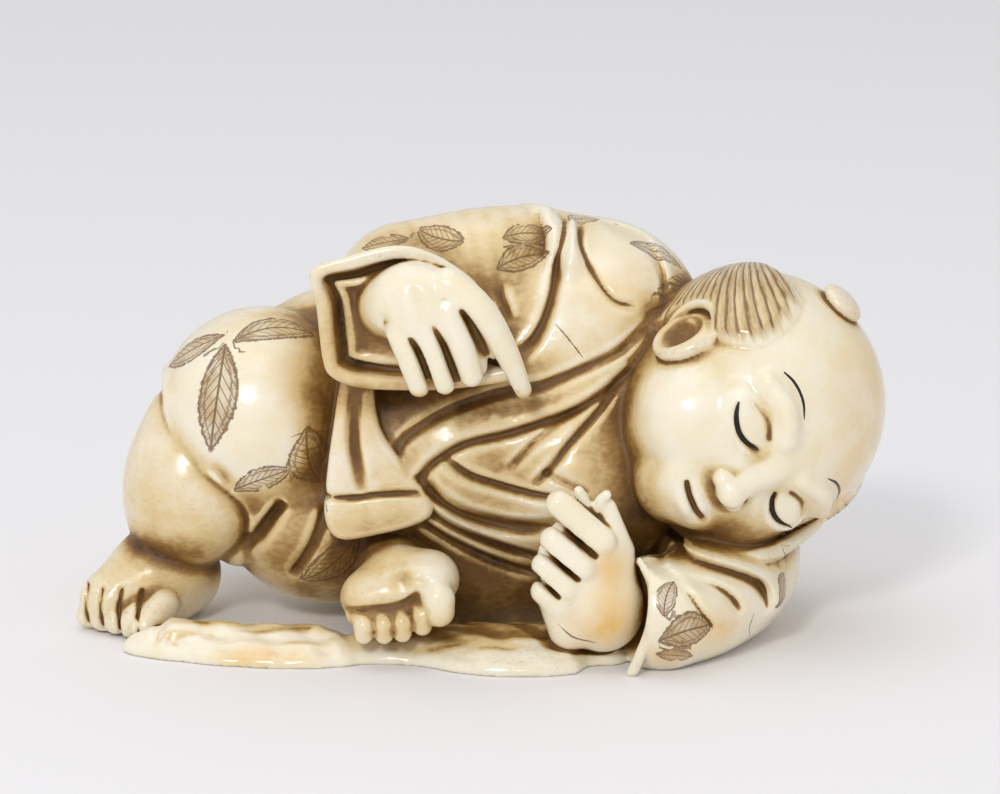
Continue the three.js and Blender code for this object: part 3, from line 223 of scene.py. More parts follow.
# ---- the carving ------------------------------------------------------------------------------
class Carving:
    """Distances to the surface on a grid, negative inside the ivory."""

    def __init__(self):
        self.low = np.array(BLOCK_LOW)
        self.count = np.ceil((np.array(BLOCK_HIGH) - self.low) / STEP).astype(int) + 1
        self.value = np.full(self.count, FAR, np.float32)
        self.places = [(low + STEP * np.arange(n)).astype(np.float32)
                       for low, n in zip(self.low, self.count)]

    def window(self, low, high, pad):
        """The part of the grid round a box, and the places of its points."""
        cells, places = [], []
        for i in range(3):
            a = int(np.clip(math.floor((low[i] - pad - self.low[i]) / STEP), 0, self.count[i] - 1))
            b = int(np.clip(math.ceil((high[i] + pad - self.low[i]) / STEP) + 1, a + 1, self.count[i]))
            cells.append(slice(a, b))
            shape = [1, 1, 1]
            shape[i] = b - a
            places.append(self.places[i][a:b].reshape(shape))
        return tuple(cells), places

    def join(self, form, crease=0.0):
        distance, low, high = form
        cells, places = self.window(low, high, crease + JOIN_PAD)
        self.value[cells] = soften(self.value[cells], distance(*places), crease)

    def cut(self, form, crease=0.0):
        distance, low, high = form
        cells, places = self.window(low, high, crease + CUT_PAD)
        self.value[cells] = -soften(-self.value[cells], distance(*places), crease)

    def merge(self, other, crease):
        self.value = soften(self.value, other.value, crease)

    def drawn(self, line, plane, span, pad):
        """The grid round a line drawn on a plane, between two depths, and its share of each."""
        at, across, up, out = plane
        ends = [at + p[0] * across + p[1] * up + depth * out for p in line for depth in span]
        cells, places = self.window(np.min(ends, 0), np.max(ends, 0), pad)
        u, v, depth = on_plane(plane, *places)
        share = (np.clip((depth - span[0]) / SPAN_EDGE + 0.5, 0, 1)
                 * np.clip((span[1] - depth) / SPAN_EDGE + 0.5, 0, 1))
        return cells, u, v, share

    def score(self, points, width, depth, lap=0.0, reach=1.6, plane=FRONT, span=(0, 16), fade=0.12):
        """A groove along a drawn line. A lap raises the cloth on its left hand, or lowers it."""
        line = smooth(points, 5) if len(points) > 2 else np.asarray(points, float)
        cells, u, v, share = self.drawn(line, plane, span, max(width, reach if lap else 0))
        gap, side, along = along_line(line, u, v)
        change = depth * np.clip(1 - (gap / width) ** 2, 0, 1) ** ROUND
        if lap:
            on_left = np.clip(0.5 + side * gap / LAP_STEP, 0, 1)
            change = change - lap * (on_left * np.clip(1 - gap / reach, 0, 1) ** ROUND)
        if fade:
            change = change * np.sqrt(np.clip(np.minimum(along, 1 - along) / fade, 0, 1))
        self.value[cells] += (change * share).astype(np.float32)

    def swell(self, corners, height, edge=0.5, plane=FRONT, span=(0, 16)):
        """Raises what lies inside an outline drawn on a plane."""
        outline = smooth(corners, 4, closed=True)
        cells, u, v, share = self.drawn(outline, plane, span, edge)
        inside = np.clip(0.5 - outline_distance(u, v, outline) / edge, 0, 1)
        self.value[cells] -= (height * inside * share).astype(np.float32)

    def skin(self):
        """Points and four-sided faces where the distance is zero."""
        value, count = self.value, self.value.shape
        solid = value < 0
        corners = [(i, j, k) for i in (0, 1) for j in (0, 1) for k in (0, 1)]
        filled = sum(solid[i:count[0] - 1 + i, j:count[1] - 1 + j, k:count[2] - 1 + k].astype(np.int8)
                     for i, j, k in corners)
        cells = np.argwhere((filled > 0) & (filled < 8))
        number = np.full(filled.shape, -1, np.int32)
        number[tuple(cells.T)] = np.arange(len(cells))
        at_corner = {c: value[tuple((cells + c).T)] for c in corners}
        total, crossings = np.zeros((len(cells), 3)), np.zeros(len(cells))
        for c in corners:
            for axis in range(3):
                if c[axis]:
                    continue
                far = tuple(1 if i == axis else c[i] for i in range(3))
                here, there = at_corner[c], at_corner[far]
                crossed = (here < 0) != (there < 0)
                share = np.where(crossed, here / np.where(crossed, here - there, 1), 0)
                total += (np.array(c) + np.outer(share, np.eye(3)[axis])) * crossed[:, None]
                crossings += crossed
        points = self.low + (cells + total / crossings[:, None]) * STEP
        faces = []
        for axis in range(3):
            p, q = (axis + 1) % 3, (axis + 2) % 3
            near, far = [slice(None)] * 3, [slice(None)] * 3
            near[axis], far[axis] = slice(0, -1), slice(1, None)
            edges = np.argwhere(solid[tuple(near)] != solid[tuple(far)])
            inner = np.all([(edges[:, i] > 0) & (edges[:, i] < count[i] - 1) for i in (p, q)], axis=0)
            edges = edges[inner]
            ring = []
            for dp, dq in ((-1, -1), (0, -1), (0, 0), (-1, 0)):
                cell = edges.copy()
                cell[:, p] += dp
                cell[:, q] += dq
                ring.append(number[tuple(cell.T)])
            ring = np.column_stack(ring)
            outward = solid[tuple(edges.T)]
            ring[~outward] = ring[~outward][:, ::-1]
            faces.append(ring)
        return points, np.vstack(faces)

    def sample(self, grid, points):
        """A grid's value at any points, blended from the eight corners round each."""
        place = (points - self.low) / STEP
        cell = np.clip(place.astype(int), 0, np.array(grid.shape) - 2)
        share = place - cell
        value = 0
        for i in (0, 1):
            for j in (0, 1):
                for k in (0, 1):
                    weight = 1.0
                    for axis, far in enumerate((i, j, k)):
                        weight = weight * (share[:, axis] if far else 1 - share[:, axis])
                    value = value + weight * grid[cell[:, 0] + i, cell[:, 1] + j, cell[:, 2] + k]
        return value


def fullness(carving, reach):
    """How much ivory lies round each grid point: half on a flat face, more in a hollow."""
    grid = (carving.value < 0).astype(np.float32)
    cells = max(1, round(reach / STEP))
    for axis in range(3):
        for _ in range(2):
            pad = [(cells + 1, cells) if a == axis else (0, 0) for a in range(3)]
            sums = np.cumsum(np.pad(grid, pad, mode="edge"), axis=axis, dtype=np.float64)
            count = grid.shape[axis]
            high = np.take(sums, np.arange(2 * cells + 1, 2 * cells + 1 + count), axis=axis)
            low = np.take(sums, np.arange(count), axis=axis)
            grid = ((high - low) / (2 * cells + 1)).astype(np.float32)
    return grid


# ---- the head's own directions: up to the crown, out to its side, forward through the face ---
lean, bow = math.radians(HEAD_LEAN), math.radians(HEAD_BOW)
CROWNWARD = np.array([math.cos(lean), 0, math.sin(lean)])
UPRIGHT = np.array([-CROWNWARD[2], 0, CROWNWARD[0]])
AHEAD = np.array([0, -1.0, 0])
FORWARD = AHEAD * math.cos(bow) - UPRIGHT * math.sin(bow)
SIDEWARD = UPRIGHT * math.cos(bow) + AHEAD * math.sin(bow)
HEAD_AXES = [CROWNWARD, SIDEWARD, FORWARD]
FACE = (HEAD, SIDEWARD, CROWNWARD, FORWARD)


def on_head(up, side, front):
    return HEAD + up * CROWNWARD + side * SIDEWARD + front * FORWARD


def temple(side):
    return HEAD, FORWARD, CROWNWARD, SIDEWARD * side


# ---- the figure, one function for each part of it --------------------------------------------
def robed_body(block):
    block.join(ball((4.2, 2.2, 13.6), (9, 8.6, 9.3)))                # chest and belly
    block.join(ball((7.2, 2.2, 16.9), (6.2, 7.2, 6.3)), 2)           # shoulders
    block.join(ball((-1.5, 0.8, 10.6), (9.5, 8.6, 7.9)), 2)          # waist
    block.join(ball((-7.5, 3.8, 11.2), (8, 8.2, 7.8)), 2)            # back of the hips
    block.join(ball((6, -1, 9), (7, 7.5, 6.5)), 2)                   # front of the belly
    block.join(limb([(3, 3.5, 22.9), (4.4, 0.5, 23.1), (5.4, -2.5, 21.8)], [1.2, 1.2, 0.9]), 0.8)
    block.join(ball((1, 1, 3.6), (9.5, 6.6, 5)), 1.5)                # set back, on the ground


def front_folds(block):
    """The lapel's band across the chest, and the folds that hang from it over the belly."""
    block.score([(10, 18.6), (8.3, 17.2), (7, 16.6), (5.3, 15.9), (3.7, 15.3), (2, 15), (0.3, 14.6),
                 (-1.7, 13.9), (-3.3, 13), (-4.4, 12.1), (-4.7, 11)], 0.45, 0.36)
    block.score([(-3.6, 9.9), (-3.1, 10.5), (-2.3, 11.3), (-0.7, 12.2), (1.7, 12.7), (3.7, 13.3),
                 (5.7, 14), (7.5, 15), (9, 16.2)], 0.45, 0.55, lap=0.32, reach=2)
    block.score([(5.9, 14), (3.7, 12.6), (2.5, 11.4), (1.8, 10.7)], 0.3, 0.22)
    block.score([(3.2, 9.8), (4.1, 10.7), (5.2, 12.1), (6.6, 13.5), (8.2, 15.2)], 0.36, 0.4, lap=0.2)
    block.score([(3.7, 10.7), (5.2, 10), (6.4, 9.5)], 0.3, 0.22)
    block.score([(5.4, 9.2), (4.2, 9.1), (2.7, 9.3), (1.1, 9.7), (-0.5, 10.3), (-2, 11.4)],
                0.42, 0.5, lap=0.36, reach=1.2)
    block.score([(-3.4, 10.5), (-2.1, 8.9), (-0.5, 7.9), (1.3, 7.4), (2.9, 7.3), (4.6, 7.5)],
                0.62, 0.6, lap=0.3)
    block.score([(-3, 9.6), (-1.7, 8.2), (0, 7.3), (1.9, 6.8), (3.8, 6.8)], 0.36, 0.3)
    block.score([(-6.5, 14.4), (-6, 13.1), (-5.2, 11.4), (-4.3, 10), (-3.2, 8.6), (-1.9, 7.4),
                 (-0.3, 6.4), (1.7, 5.6), (3.6, 5.2)], 0.5, 0.62, lap=0.42, reach=1.6)
    block.score([(-3.4, 7.6), (-1.5, 6.1), (0.1, 5.1), (2.1, 4.3), (3.5, 4)], 0.45, 0.42, lap=0.25)


def shoulder_folds(block):
    """The arm hole's seam, the collar on the nape and the cloth gathered between them."""
    for line, width, depth, lap in (
            ([(4.4, 24.4), (5.1, 23.6), (4.8, 21.9), (4.3, 19.7), (3.5, 18), (2.5, 17)], 0.5, 0.55, 0.18),
            ([(6.2, 23.8), (6, 22.6), (6.8, 21.2), (7.9, 19.9), (9.2, 19.5)], 0.32, 0.26, 0),
            ([(7, 23.8), (8.5, 23), (10, 22.2), (10.8, 20.9), (10.9, 19.4)], 0.32, 0.26, 0),
            ([(0.8, 23.6), (0.8, 22.2), (1.2, 20.4), (1.9, 18.8)], 0.4, 0.32, 0.15),
            ([(2.2, 24), (2.6, 22.8), (2.5, 21.6)], 0.35, 0.25, 0),
            ([(3.5, 24.2), (3.8, 23), (3.6, 22)], 0.35, 0.25, 0)):
        block.score(line, width, depth, lap, span=(-2, 12))


def back_folds(block):
    """Long folds across the back of the robe, and its hem over the seat."""
    for fold in ([(-9, 17), (-4.5, 15.4), (1, 14.6), (6.5, 13.2)],
                 [(-9.5, 13), (-4, 11.8), (1.5, 10), (6.5, 8.2)],
                 [(-8.5, 9.4), (-3.5, 8), (1.5, 5.8), (5, 3.4)]):
        block.score(fold, 0.6, 0.45, lap=0.3, reach=2, plane=BACK, span=(0, 14))
    block.score([(9.4, 17.2), (10.4, 13.4), (10.2, 9), (8.6, 4.6)], 0.7, 0.55, lap=0.4, reach=2,
                plane=BACK, span=(0, 14))


def seat(block):
    form = Carving()
    form.join(ball((-12.8, -0.6, 12.4), (6.1, 6.6, 6.2)))            # right thigh
    form.join(ball((-11.6, 6, 10.8), (7, 6.2, 6.3)), 2)              # seat
    form.join(ball((-9.4, 0, 6), (6.2, 6.2, 5.2), turned(0, 18, 0)), 1.5)
    block.merge(form, 0.5)
    block.score([(-19, 15), (-18.7, 13.9), (-18.6, 13), (-18, 11.7), (-16.8, 10.3), (-15.3, 9.2),
                 (-14.2, 8.1), (-13.7, 7.1), (-13.6, 5.9)], 0.42, 0.42, lap=0.4, reach=1.2,
                span=(-3, 10), fade=0)                               # trouser hem
    block.cut(ball((-19.1, -2, 13.4), (0.7, 1.6, 0.5)), 0.3)         # a nick in it
    block.score([(-11.3, 8.3), (-12.2, 6.9), (-13.3, 5.5), (-14.6, 4.6)], 0.55, 0.75, fade=0.5)
    block.score([(-11.2, 8.2), (-11.8, 7.5), (-12.4, 6.7)], 0.4, 0.4, fade=0.5)
    block.score([(-8.7, 8), (-9.5, 5.8), (-10.8, 3.6)], 0.5, 0.5, lap=0.2)
    block.score([(-15.3, 10.8), (-14.7, 10.1), (-14.1, 9.1)], 0.6, 0.22, fade=0.5)


def robe_corner(block):
    """The robe's front corner, hanging over the thigh with a turned hem."""
    form = Carving()
    form.join(slab([(-7.6, 16.4), (-8.3, 13), (-8.7, 10), (-8.8, 7.7), (-8, 6.5), (-6, 6.7),
                    (-3.2, 7.5), (-2.6, 8.6), (-4.2, 11), (-5.6, 13.2), (-6.2, 16.4)],
                   (-7.9, -3), 0.45))
    form.score([(-9, 9), (-7.1, 9), (-5.6, 9.2), (-3, 9.3)], 0.26, 0.3, lap=-0.2, reach=0.8, fade=0)
    form.score([(-7, 15.6), (-7.1, 12.5), (-6.8, 10.4), (-6.6, 9.4)], 0.6, 0.5, fade=0.35)
    block.merge(form, 0.15)


def right_leg(block):
    form = Carving()
    form.join(ball((-17, -2, 8.4), (3.6, 4.3, 4.5)))                 # calf
    form.join(limb([(-16.3, -1.2, 11), (-17.2, -2.2, 8), (-17.8, -2, 5.4)], [3.6, 3.6, 2.7]), 1)
    form.join(ball((-15.9, -3.6, 7.3), (2.5, 2.6, 2.8)), 1.5)
    foot = Carving()
    foot.join(limb([(-17.9, -0.8, 2.3), (-19.4, -2.6, 2.3), (-21.6, -3.9, 1.7)], [2.5, 2.7, 1.9]))
    foot.join(ball((-18.6, -1.8, 3.1), (3, 3.4, 2.6)), 1)
    first_toe, last_toe = np.array([-23, -4.2, 0.85]), np.array([-19.4, -6.8, 0.95])
    for toe in range(5):
        tip = first_toe + (last_toe - first_toe) * toe / 4
        girth = 0.74 + 0.04 * toe
        knuckle = tip + (1, 1.3, 1)
        foot.join(limb([knuckle, tip * 0.7 + knuckle * 0.3, tip], [girth, girth, 0.92 * girth], 0), 0.2)
    for x in (-22.9, -22, -20.9, -19.7):
        foot.score([(x + 0.1, 3), (x - 0.1, 1.8), (x, 0.4)], 0.2, 0.3, span=(2, 10))
    form.merge(foot, 0.35)
    form.join(ball((-14.1, -1.6, 5), (1.7, 2.8, 1.7)), 0.3)          # where it meets the seat
    block.merge(form, 0.2)


def shrunk(outline, by):
    """An outline moved inwards by a fixed width."""
    points = np.array(outline, float)
    along = np.roll(points, -1, axis=0) - np.roll(points, 1, axis=0)
    inward = np.column_stack([along[:, 1], -along[:, 0]]) / np.hypot(*along.T)[:, None]
    away = ((points.mean(0) - points) * inward).sum(1) < 0
    inward[away] *= -1
    return points + by * inward


def right_sleeve(block):
    mouth = [(-9.5, 22.7), (-7.2, 23.6), (-4.6, 24.2), (-2.6, 23.8), (-0.9, 22.8), (0.2, 21.8),
             (1.2, 20), (2.2, 17.6), (2.2, 16.3), (-0.4, 15.75), (-3.2, 15.55), (-6.7, 15.7),
             (-8.4, 16.4), (-8.9, 17.6), (-9.2, 20.5)]
    cuff = shrunk(mouth, SLEEVE_RIM + 0.5)
    flare = dict(taper=SLEEVE_FLARE, start=SLEEVE_FRONT)
    form = Carving()
    form.join(slab(mouth, (SLEEVE_FRONT, 1), 0.35, **flare))
    form.join(limb([(7.2, 2.5, 17.9), (2, 2, 19.3), (-4.2, 0.2, 19.6)], [5.2, 4.9, 4]), 1.8)
    form.cut(slab(shrunk(mouth, SLEEVE_RIM), (-12, SLEEVE_FRONT + 1.3), 0.5, **flare), 0.25)
    form.join(slab(cuff, (SLEEVE_FRONT + 0.55, -5), 0.4, **flare), 0.2)
    form.cut(slab(shrunk(cuff, CUFF_RIM), (-12, SLEEVE_FRONT + 1.2), 0.6, **flare), 0.3)
    form.join(ball((-3.6, -7.6, 19.7), (3.5, 1.15, 3)), 0.8)         # the lining closes on the wrist
    block.merge(form, 0.3)


def right_hand(block):
    form = Carving()
    form.join(limb([(-5.4, -4, 20), (-4.9, -7.4, 20.4)], [2.1, 2.1], 0))         # wrist
    form.join(ball((-3.2, -9, 20.8), (2.8, 2.1, 2.4), turned(0, 25, 0)), 1)
    form.join(ball((-2.4, -9.5, 19.8), (2.4, 1.4, 1.8), turned(0, -30, 0)), 0.8)
    form.join(ball((-1.5, -9.5, 18.5), (2.7, 0.9, 2.5), turned(0, -15, 0)), 0.3)  # cloth behind the fingers
    for root, tip, girth in (((-4.5, -9.9, 19.6), (-3.25, -10.2, 16.3), 0.68),
                             ((-3.1, -10.3, 20.3), (-1.8, -10.4, 16.5), 0.68),
                             ((-1.6, -10.4, 20.7), (-0.3, -10.2, 16.9), 0.7)):
        joint = (np.array(root) + tip) / 2 + (0.05, -0.15, 0.1)
        form.join(limb([root, joint, tip], [girth * 1.1, girth * 1.1, girth * 0.95], 4), 0.2)
    form.join(limb([(-1.5, -9.8, 22), (0.3, -10.4, 20.7), (1.6, -10, 18.4), (2.65, -9.5, 15.9)],
                   [1.1, 0.85, 0.72, 0.5], 4), 0.3)                              # long forefinger
    for line in ([(-4.7, 21.9), (-4.4, 20.9), (-4.1, 20)], [(-3.6, 22.2), (-3.2, 21.4), (-2.8, 20.7)],
                 [(-5.3, 20.6), (-5, 19.4)]):
        form.score(line, 0.4, 0.16, span=(6, 14), fade=0.4)                      # knuckles
    for line in ([(-3.8, 19.3), (-3.1, 17.8), (-2.5, 16)], [(-2.5, 20.1), (-1.8, 18.4), (-1, 16.2)],
                 [(-0.9, 21), (0.1, 19), (1.2, 16.4)]):
        form.score(line, 0.3, 0.35, span=(8.8, 14), fade=0.3)
    block.merge(form, 0.1)


def left_sleeve(block):
    form = Carving()
    form.join(limb([(14, 1, 5.5), (15, -3.5, 3.9), (13.2, -7.9, 3.2), (10.6, -10.5, 3)],
                   [4.6, 4, 3.5, 3.4]))
    form.join(ball((12.9, 1.5, 7), (6.2, 6.5, 5.5)), 1.5)            # elbow and pillow of cloth
    form.join(ball((16.7, -7.6, 3.2), (1.1, 1.6, 1.2)), 0.8)         # the folds bunch at the elbow
    form.score([(7.4, 7.2), (8.9, 7.1), (11.8, 6.2), (14.7, 5.2), (16.4, 4.1), (17, 2.6)], 0.5, 0.6,
               lap=0.35, reach=1.3, span=(3, 15))
    form.score([(9.3, 6.5), (11.3, 5.8), (13.5, 4.8), (14.5, 4), (15.2, 3)], 0.42, 0.4, span=(6, 15))
    form.score([(9.9, 6.2), (11.7, 5.2), (12.8, 3.7), (13.7, 2.4)], 0.32, 0.28, lap=0.18, span=(6, 15))
    form.score([(8.2, 8.2), (10.4, 7.8), (13, 7.2), (15.4, 6.6)], 0.45, 0.35, span=(3, 13))
    form.join(ball((9.7, -10.6, 3), (0.9, 2.4, 3.3), turned(0, 0, -42)), 0.3)
    form.cut(ball((8, -12, 3.2), (2.3, 2.5, 3.5), turned(0, 0, -42)), 0.15)
    form.join(limb([(9.3, -11.3, 6.3), (10, -12.4, 5), (9.9, -13.1, 3), (9.3, -13.3, 1.3), (8.8, -13, 0)],
                   [0.2, 0.3, 0.32, 0.32, 0.34]), 0.1)               # its thin hem
    block.merge(form, 0.35)


def left_hand(block):
    form = Carving()
    form.join(ball((6.9, -11.2, 3.9), (2.6, 1.8, 3.1), turned(0, -22, 0)))
    form.join(ball((7.2, -10.9, 6.4), (1.7, 1.5, 2.2), turned(0, -30, 0)), 0.6)
    form.join(limb([(7, -11.3, 7.1), (4.9, -11.5, 4.2)], [1.15, 1], 0), 0.5)     # knuckles
    form.join(limb([(4.3, -11.5, 4.3), (5.3, -11.4, 2.3)], [0.9, 1.25], 0), 0.5)  # edge of the hand
    form.join(ball((5.7, -10.3, 6.6), (2, 1.1, 2.7), turned(0, 38, 0)), 0.3)     # palm behind
    for root, tip, girth in (((7.1, -12, 7.6), (4.7, -11.5, 9.7), 0.8),
                             ((6, -12.3, 6.2), (4.35, -12, 7.7), 0.8),
                             ((5.1, -12.3, 5), (3.85, -12, 6.2), 0.76),
                             ((4.8, -12, 3.8), (3.75, -11.9, 4.65), 0.7)):
        form.join(limb([root, tip], [girth + 0.06, girth], 0), 0.22)
    form.join(limb([(8, -10.9, 6.8), (7.4, -10.5, 9.2)], [1, 0.6], 0), 0.3)      # thumb
    form.join(limb([(6.4, -10.6, 8.6), (6, -11, 10), (5.8, -11.2, 10.4)], [0.48, 0.36, 0.3], 0), 0.1)
    form.join(limb([(6.6, -10.6, 8.6), (7.1, -10.9, 9.8), (7.4, -11, 10.1)], [0.45, 0.34, 0.3], 0), 0.1)
    for line in ([(3.9, 9.1), (6.9, 6.8)], [(3.4, 7.4), (5.9, 5.5)], [(3, 5.9), (4.8, 4.4)]):
        form.score(line, 0.24, 0.6, span=(9, 14), fade=0.15)
    block.merge(form, 0.08)


def face(form):
    """A calm child's face: eyes half way up, the nose ends half way from the eyes to the chin."""
    eyes = (-1, 1)
    for s in eyes:
        form.cut(ball(on_head(EYE_UP + 0.1, EYE_OUT * s, 8.2), (1.1, 2, 1), HEAD_AXES), 1)
        form.join(ball(on_head(EYE_UP, EYE_OUT * s, 6.2), (1.05, 1.8, 0.85), HEAD_AXES), 0.8)
        form.join(limb([on_head(1.5, 1.5 * s, 7.4), on_head(2.1, 3.1 * s, 7), on_head(1.7, 4.8 * s, 5.9)],
                       [0.4, 0.5, 0.4]), 0.8)                        # brow
    form.join(limb([on_head(0.6, 0, 7.2), on_head(-1.4, 0, 7.6), on_head(NOSE_UP + 0.5, 0, 7.9)],
                   [0.55, 0.6, 0.75]), 0.7)
    form.join(ball(on_head(NOSE_UP + 0.35, 0, 8), (0.7, 0.85, 0.75), HEAD_AXES), 0.4)
    for s in eyes:
        form.join(ball(on_head(NOSE_UP + 0.25, 0.9 * s, 7.6), (0.5, 0.5, 0.6), HEAD_AXES), 0.3)
    form.join(ball(on_head(MOUTH_UP, 0, 6.5), (1.5, 2.3, 1), HEAD_AXES), 0.8)    # round the mouth
    form.join(limb([on_head(MOUTH_UP + 0.42, s, 7.45 - 0.2 * s * s) for s in (-1.35, -0.5, 0, 0.5, 1.35)],
                   [0.22, 0.38, 0.36, 0.38, 0.22]), 0.25)
    form.join(limb([on_head(MOUTH_UP - 0.45, s, 7.3 - 0.2 * s * s) for s in (-1.2, 0, 1.2)],
                   [0.25, 0.48, 0.25]), 0.25)
    form.score([(s, MOUTH_UP + 0.09 * s * s) for s in (-1.55, -0.7, 0, 0.7, 1.55)], 0.28, 0.35,
               plane=FACE, span=(4, 10))
    for s in eyes:
        lid = [(out * s, EYE_UP + lift) for out, lift in
               ((1.45, 0.05), (2.2, -0.42), (3, -0.6), (3.9, -0.42), (4.65, 0.02))]
        form.score(lid, 0.26, 0.34, plane=FACE, span=(3, 10))
        form.score([(out * s, EYE_UP + lift) for out, lift in ((1.75, 0.7), (3, 1.1), (4.4, 0.7))],
                   0.3, 0.14, plane=FACE, span=(3, 10))


# The side lock's outline on the temple, forwards and up from the middle of the head.
LOCK = [(2.8, -0.2), (3.9, 1.5), (3.6, 2.9), (2.6, 4.1), (0.8, 4.9), (-1.6, 4.6), (-4.2, 3.2),
        (-5.8, 0.6), (-6.2, -2.4), (-5.4, -4.6), (-3.2, -4.9), (-1.2, -3.8), (-0.8, -1.6), (0.6, 0.2)]


def head(block):
    form = Carving()
    form.join(ball(on_head(*SKULL_AT), SKULL, HEAD_AXES))
    form.join(ball(on_head(-2.4, 0, 1.8), (5.7, 6.3, 5.6), HEAD_AXES), 2)
    for s in (-1, 1):
        form.join(ball(on_head(-3.3, 3.2 * s, 3.9), (3, 3, 2.9), HEAD_AXES), 1.2)
    form.join(ball(on_head(-6.1, 0, 4.9), (1.8, 2.1, 1.9), HEAD_AXES), 1)        # chin
    face(form)
    for s in (-1, 1):
        form.swell(LOCK, 0.55, plane=temple(s), span=(3.4, 10))
    block.merge(form, 0.25)
    for s in (-1, 1):
        ear(block, s)
    block.join(limb([(15, -8.8, 5.8), (16.2, -8.1, 5.6), (17.2, -7, 5.6), (18.3, -5.9, 5.9),
                     (19.4, -5.2, 6.4), (20.3, -4.8, 7.1)], [0.3, 0.5, 0.55, 0.5, 0.4, 0.25]), 0.15)
    button = [unit(0.9 * CROWNWARD + 0.45 * SIDEWARD), unit(0.9 * SIDEWARD - 0.45 * CROWNWARD), FORWARD]
    block.join(ball(on_head(7.2, 3.9, -0.6), (0.55, 1.35, 1.4), button), 0.2)        # topknot


def ear(block, side):
    """A raised rim round a bowl, open towards the lobe, with a ridge inside."""

    def rim(rise, ahead, lift):
        """A point over the side of the skull."""
        up, front = EAR_UP + rise, EAR_FRONT + ahead
        left = 1 - ((up - SKULL_AT[0]) / SKULL[0]) ** 2 - ((front - SKULL_AT[2]) / SKULL[2]) ** 2
        return on_head(up, side * (SKULL[1] * math.sqrt(left) + lift), front)

    form = Carving()
    form.join(ball(on_head(EAR_UP - 0.1, 6.9 * side, EAR_FRONT), (2.1, 0.85, 1.95), HEAD_AXES))
    form.cut(ball(on_head(EAR_UP - 0.5, 8 * side, EAR_FRONT), (1.75, 1.15, 1.45), HEAD_AXES), 0.2)
    form.join(limb([rim(-1.7, -0.9, 0.1), rim(-1, -1.6, 0.3), rim(0.1, -1.95, 0.35), rim(1.2, -1.6, 0.35),
                    rim(1.85, -0.6, 0.35), rim(1.8, 0.5, 0.3), rim(1.1, 1.4, 0.25), rim(0.2, 1.8, 0.1)],
                   [0.2, 0.27, 0.3, 0.3, 0.3, 0.3, 0.28, 0.2]), 0.12)
    form.join(limb([rim(-0.7, -0.9, 0), rim(0.3, -0.9, 0.1), rim(0.7, 0, 0.05), rim(0.1, 0.8, 0)],
                   [0.15, 0.24, 0.24, 0.15]), 0.15)
    form.cut(ball(rim(-0.6, 0.2, -0.1), (0.55, 0.5, 0.5), HEAD_AXES), 0.2)
    block.merge(form, 0.12)


def left_foot(block):
    form = Carving()
    form.join(ball((-4.6, -9.4, 4.2), (3, 2.3, 1.7), turned(0, -18, 0)))         # sole
    form.join(ball((-2.7, -9.6, 4.7), (1.7, 2.2, 1.6)), 0.8)                     # ball of the foot
    form.join(ball((-6.3, -9.5, 3.6), (1.5, 2, 1.4)), 0.8)
    form.join(limb([(-5, -4, 4.2), (-4.6, -8, 4.3)], [2.3, 1.9], 0), 1)
    form.cut(ball((-4.4, -12.1, 5.3), (0.7, 0.55, 0.6)), 0.9)                    # hollow of the sole
    form.join(ball((-5.1, -10.7, 3.1), (2.4, 1.15, 1.15), turned(0, -8, 0)), 0.4)  # roots of the toes
    form.join(limb([(-2.7, -10.9, 4.8), (-2.2, -11.6, 4.1), (-2.15, -11.7, 3.4)], [0.85, 0.98, 0.9], 0), 0.25)
    for root_x, root_z, tip_x, tip_z in ((-6.8, 3.1, -6.45, 2), (-5.65, 3.3, -5.3, 2),
                                         (-4.5, 3.4, -4.25, 2.1), (-3.5, 3.8, -3.1, 2.5)):
        form.join(limb([(root_x, -11.1, root_z), (tip_x, -11.8, 0.5 * root_z + 0.5 * tip_z),
                        (tip_x, -11.7, tip_z)], [0.5, 0.6, 0.54], 0), 0.1)
    form.score([(-7.5, 3.2), (-6.2, 3.5), (-5, 3.65), (-4, 3.95), (-3.2, 4.6)], 0.32, 0.22, span=(9, 14))
    form.score([(-3.4, 5.4), (-2.9, 5), (-2.3, 5.1)], 0.4, 0.16, span=(9, 14), fade=0.5)
    block.merge(form, 0.12)


def leaf_base(block):
    """A leaf of two lobes under the figure, that thickens from its edge inwards, and is veined."""
    left = [(-20.4, -9), (-20.3, -7.6), (-18.2, -6.6), (-13, -5.9), (-8.5, -6.4), (-6.8, -8.5), (-6.6, -11),
            (-9.5, -12), (-14, -11.6), (-18.2, -10.3)]
    right = [(-8, -8), (-3, -6), (4, -6), (8, -8), (8.7, -10), (8.2, -11.2), (6.4, -11.7), (5.7, -12.9),
             (4.2, -13.4), (2, -13.5), (0, -13.2), (-1.5, -12.6), (-2.8, -11.8), (-5, -11.2), (-8, -11)]
    for outline, first_vein in ((left, -18.6), (right, -6)):
        form = Carving()
        for inset, height in ((0, 0.4), (0.8, 0.68), (1.8, 0.86), (3, 1)):
            form.join(slab(shrunk(outline, inset), (-2, height * LEAF_TOP), 0.6, on_ground=True), 0.7)
        for vein in range(5):
            x = first_vein + 2.6 * vein
            form.score([(x - 1.6, -5.6), (x, -8.6), (x + 1.9, -10.8), (x + 3.4, -13.4)], 0.7, 0.1,
                       plane=TOP, span=(0, 4))
        block.merge(form, 0.15)


def cord_channel(block):
    """The two joined holes in the back that the carrying cord is threaded through."""
    bend = [(-CORD_SPREAD - 0.6, 14, CORD_HEIGHT), (-CORD_SPREAD, 10, CORD_HEIGHT),
            (0, CORD_DEPTH, CORD_HEIGHT), (CORD_SPREAD, 10, CORD_HEIGHT),
            (CORD_SPREAD + 0.6, 14, CORD_HEIGHT)]
    block.cut(limb(bend, [CORD_BORE] * 5), 0.1)


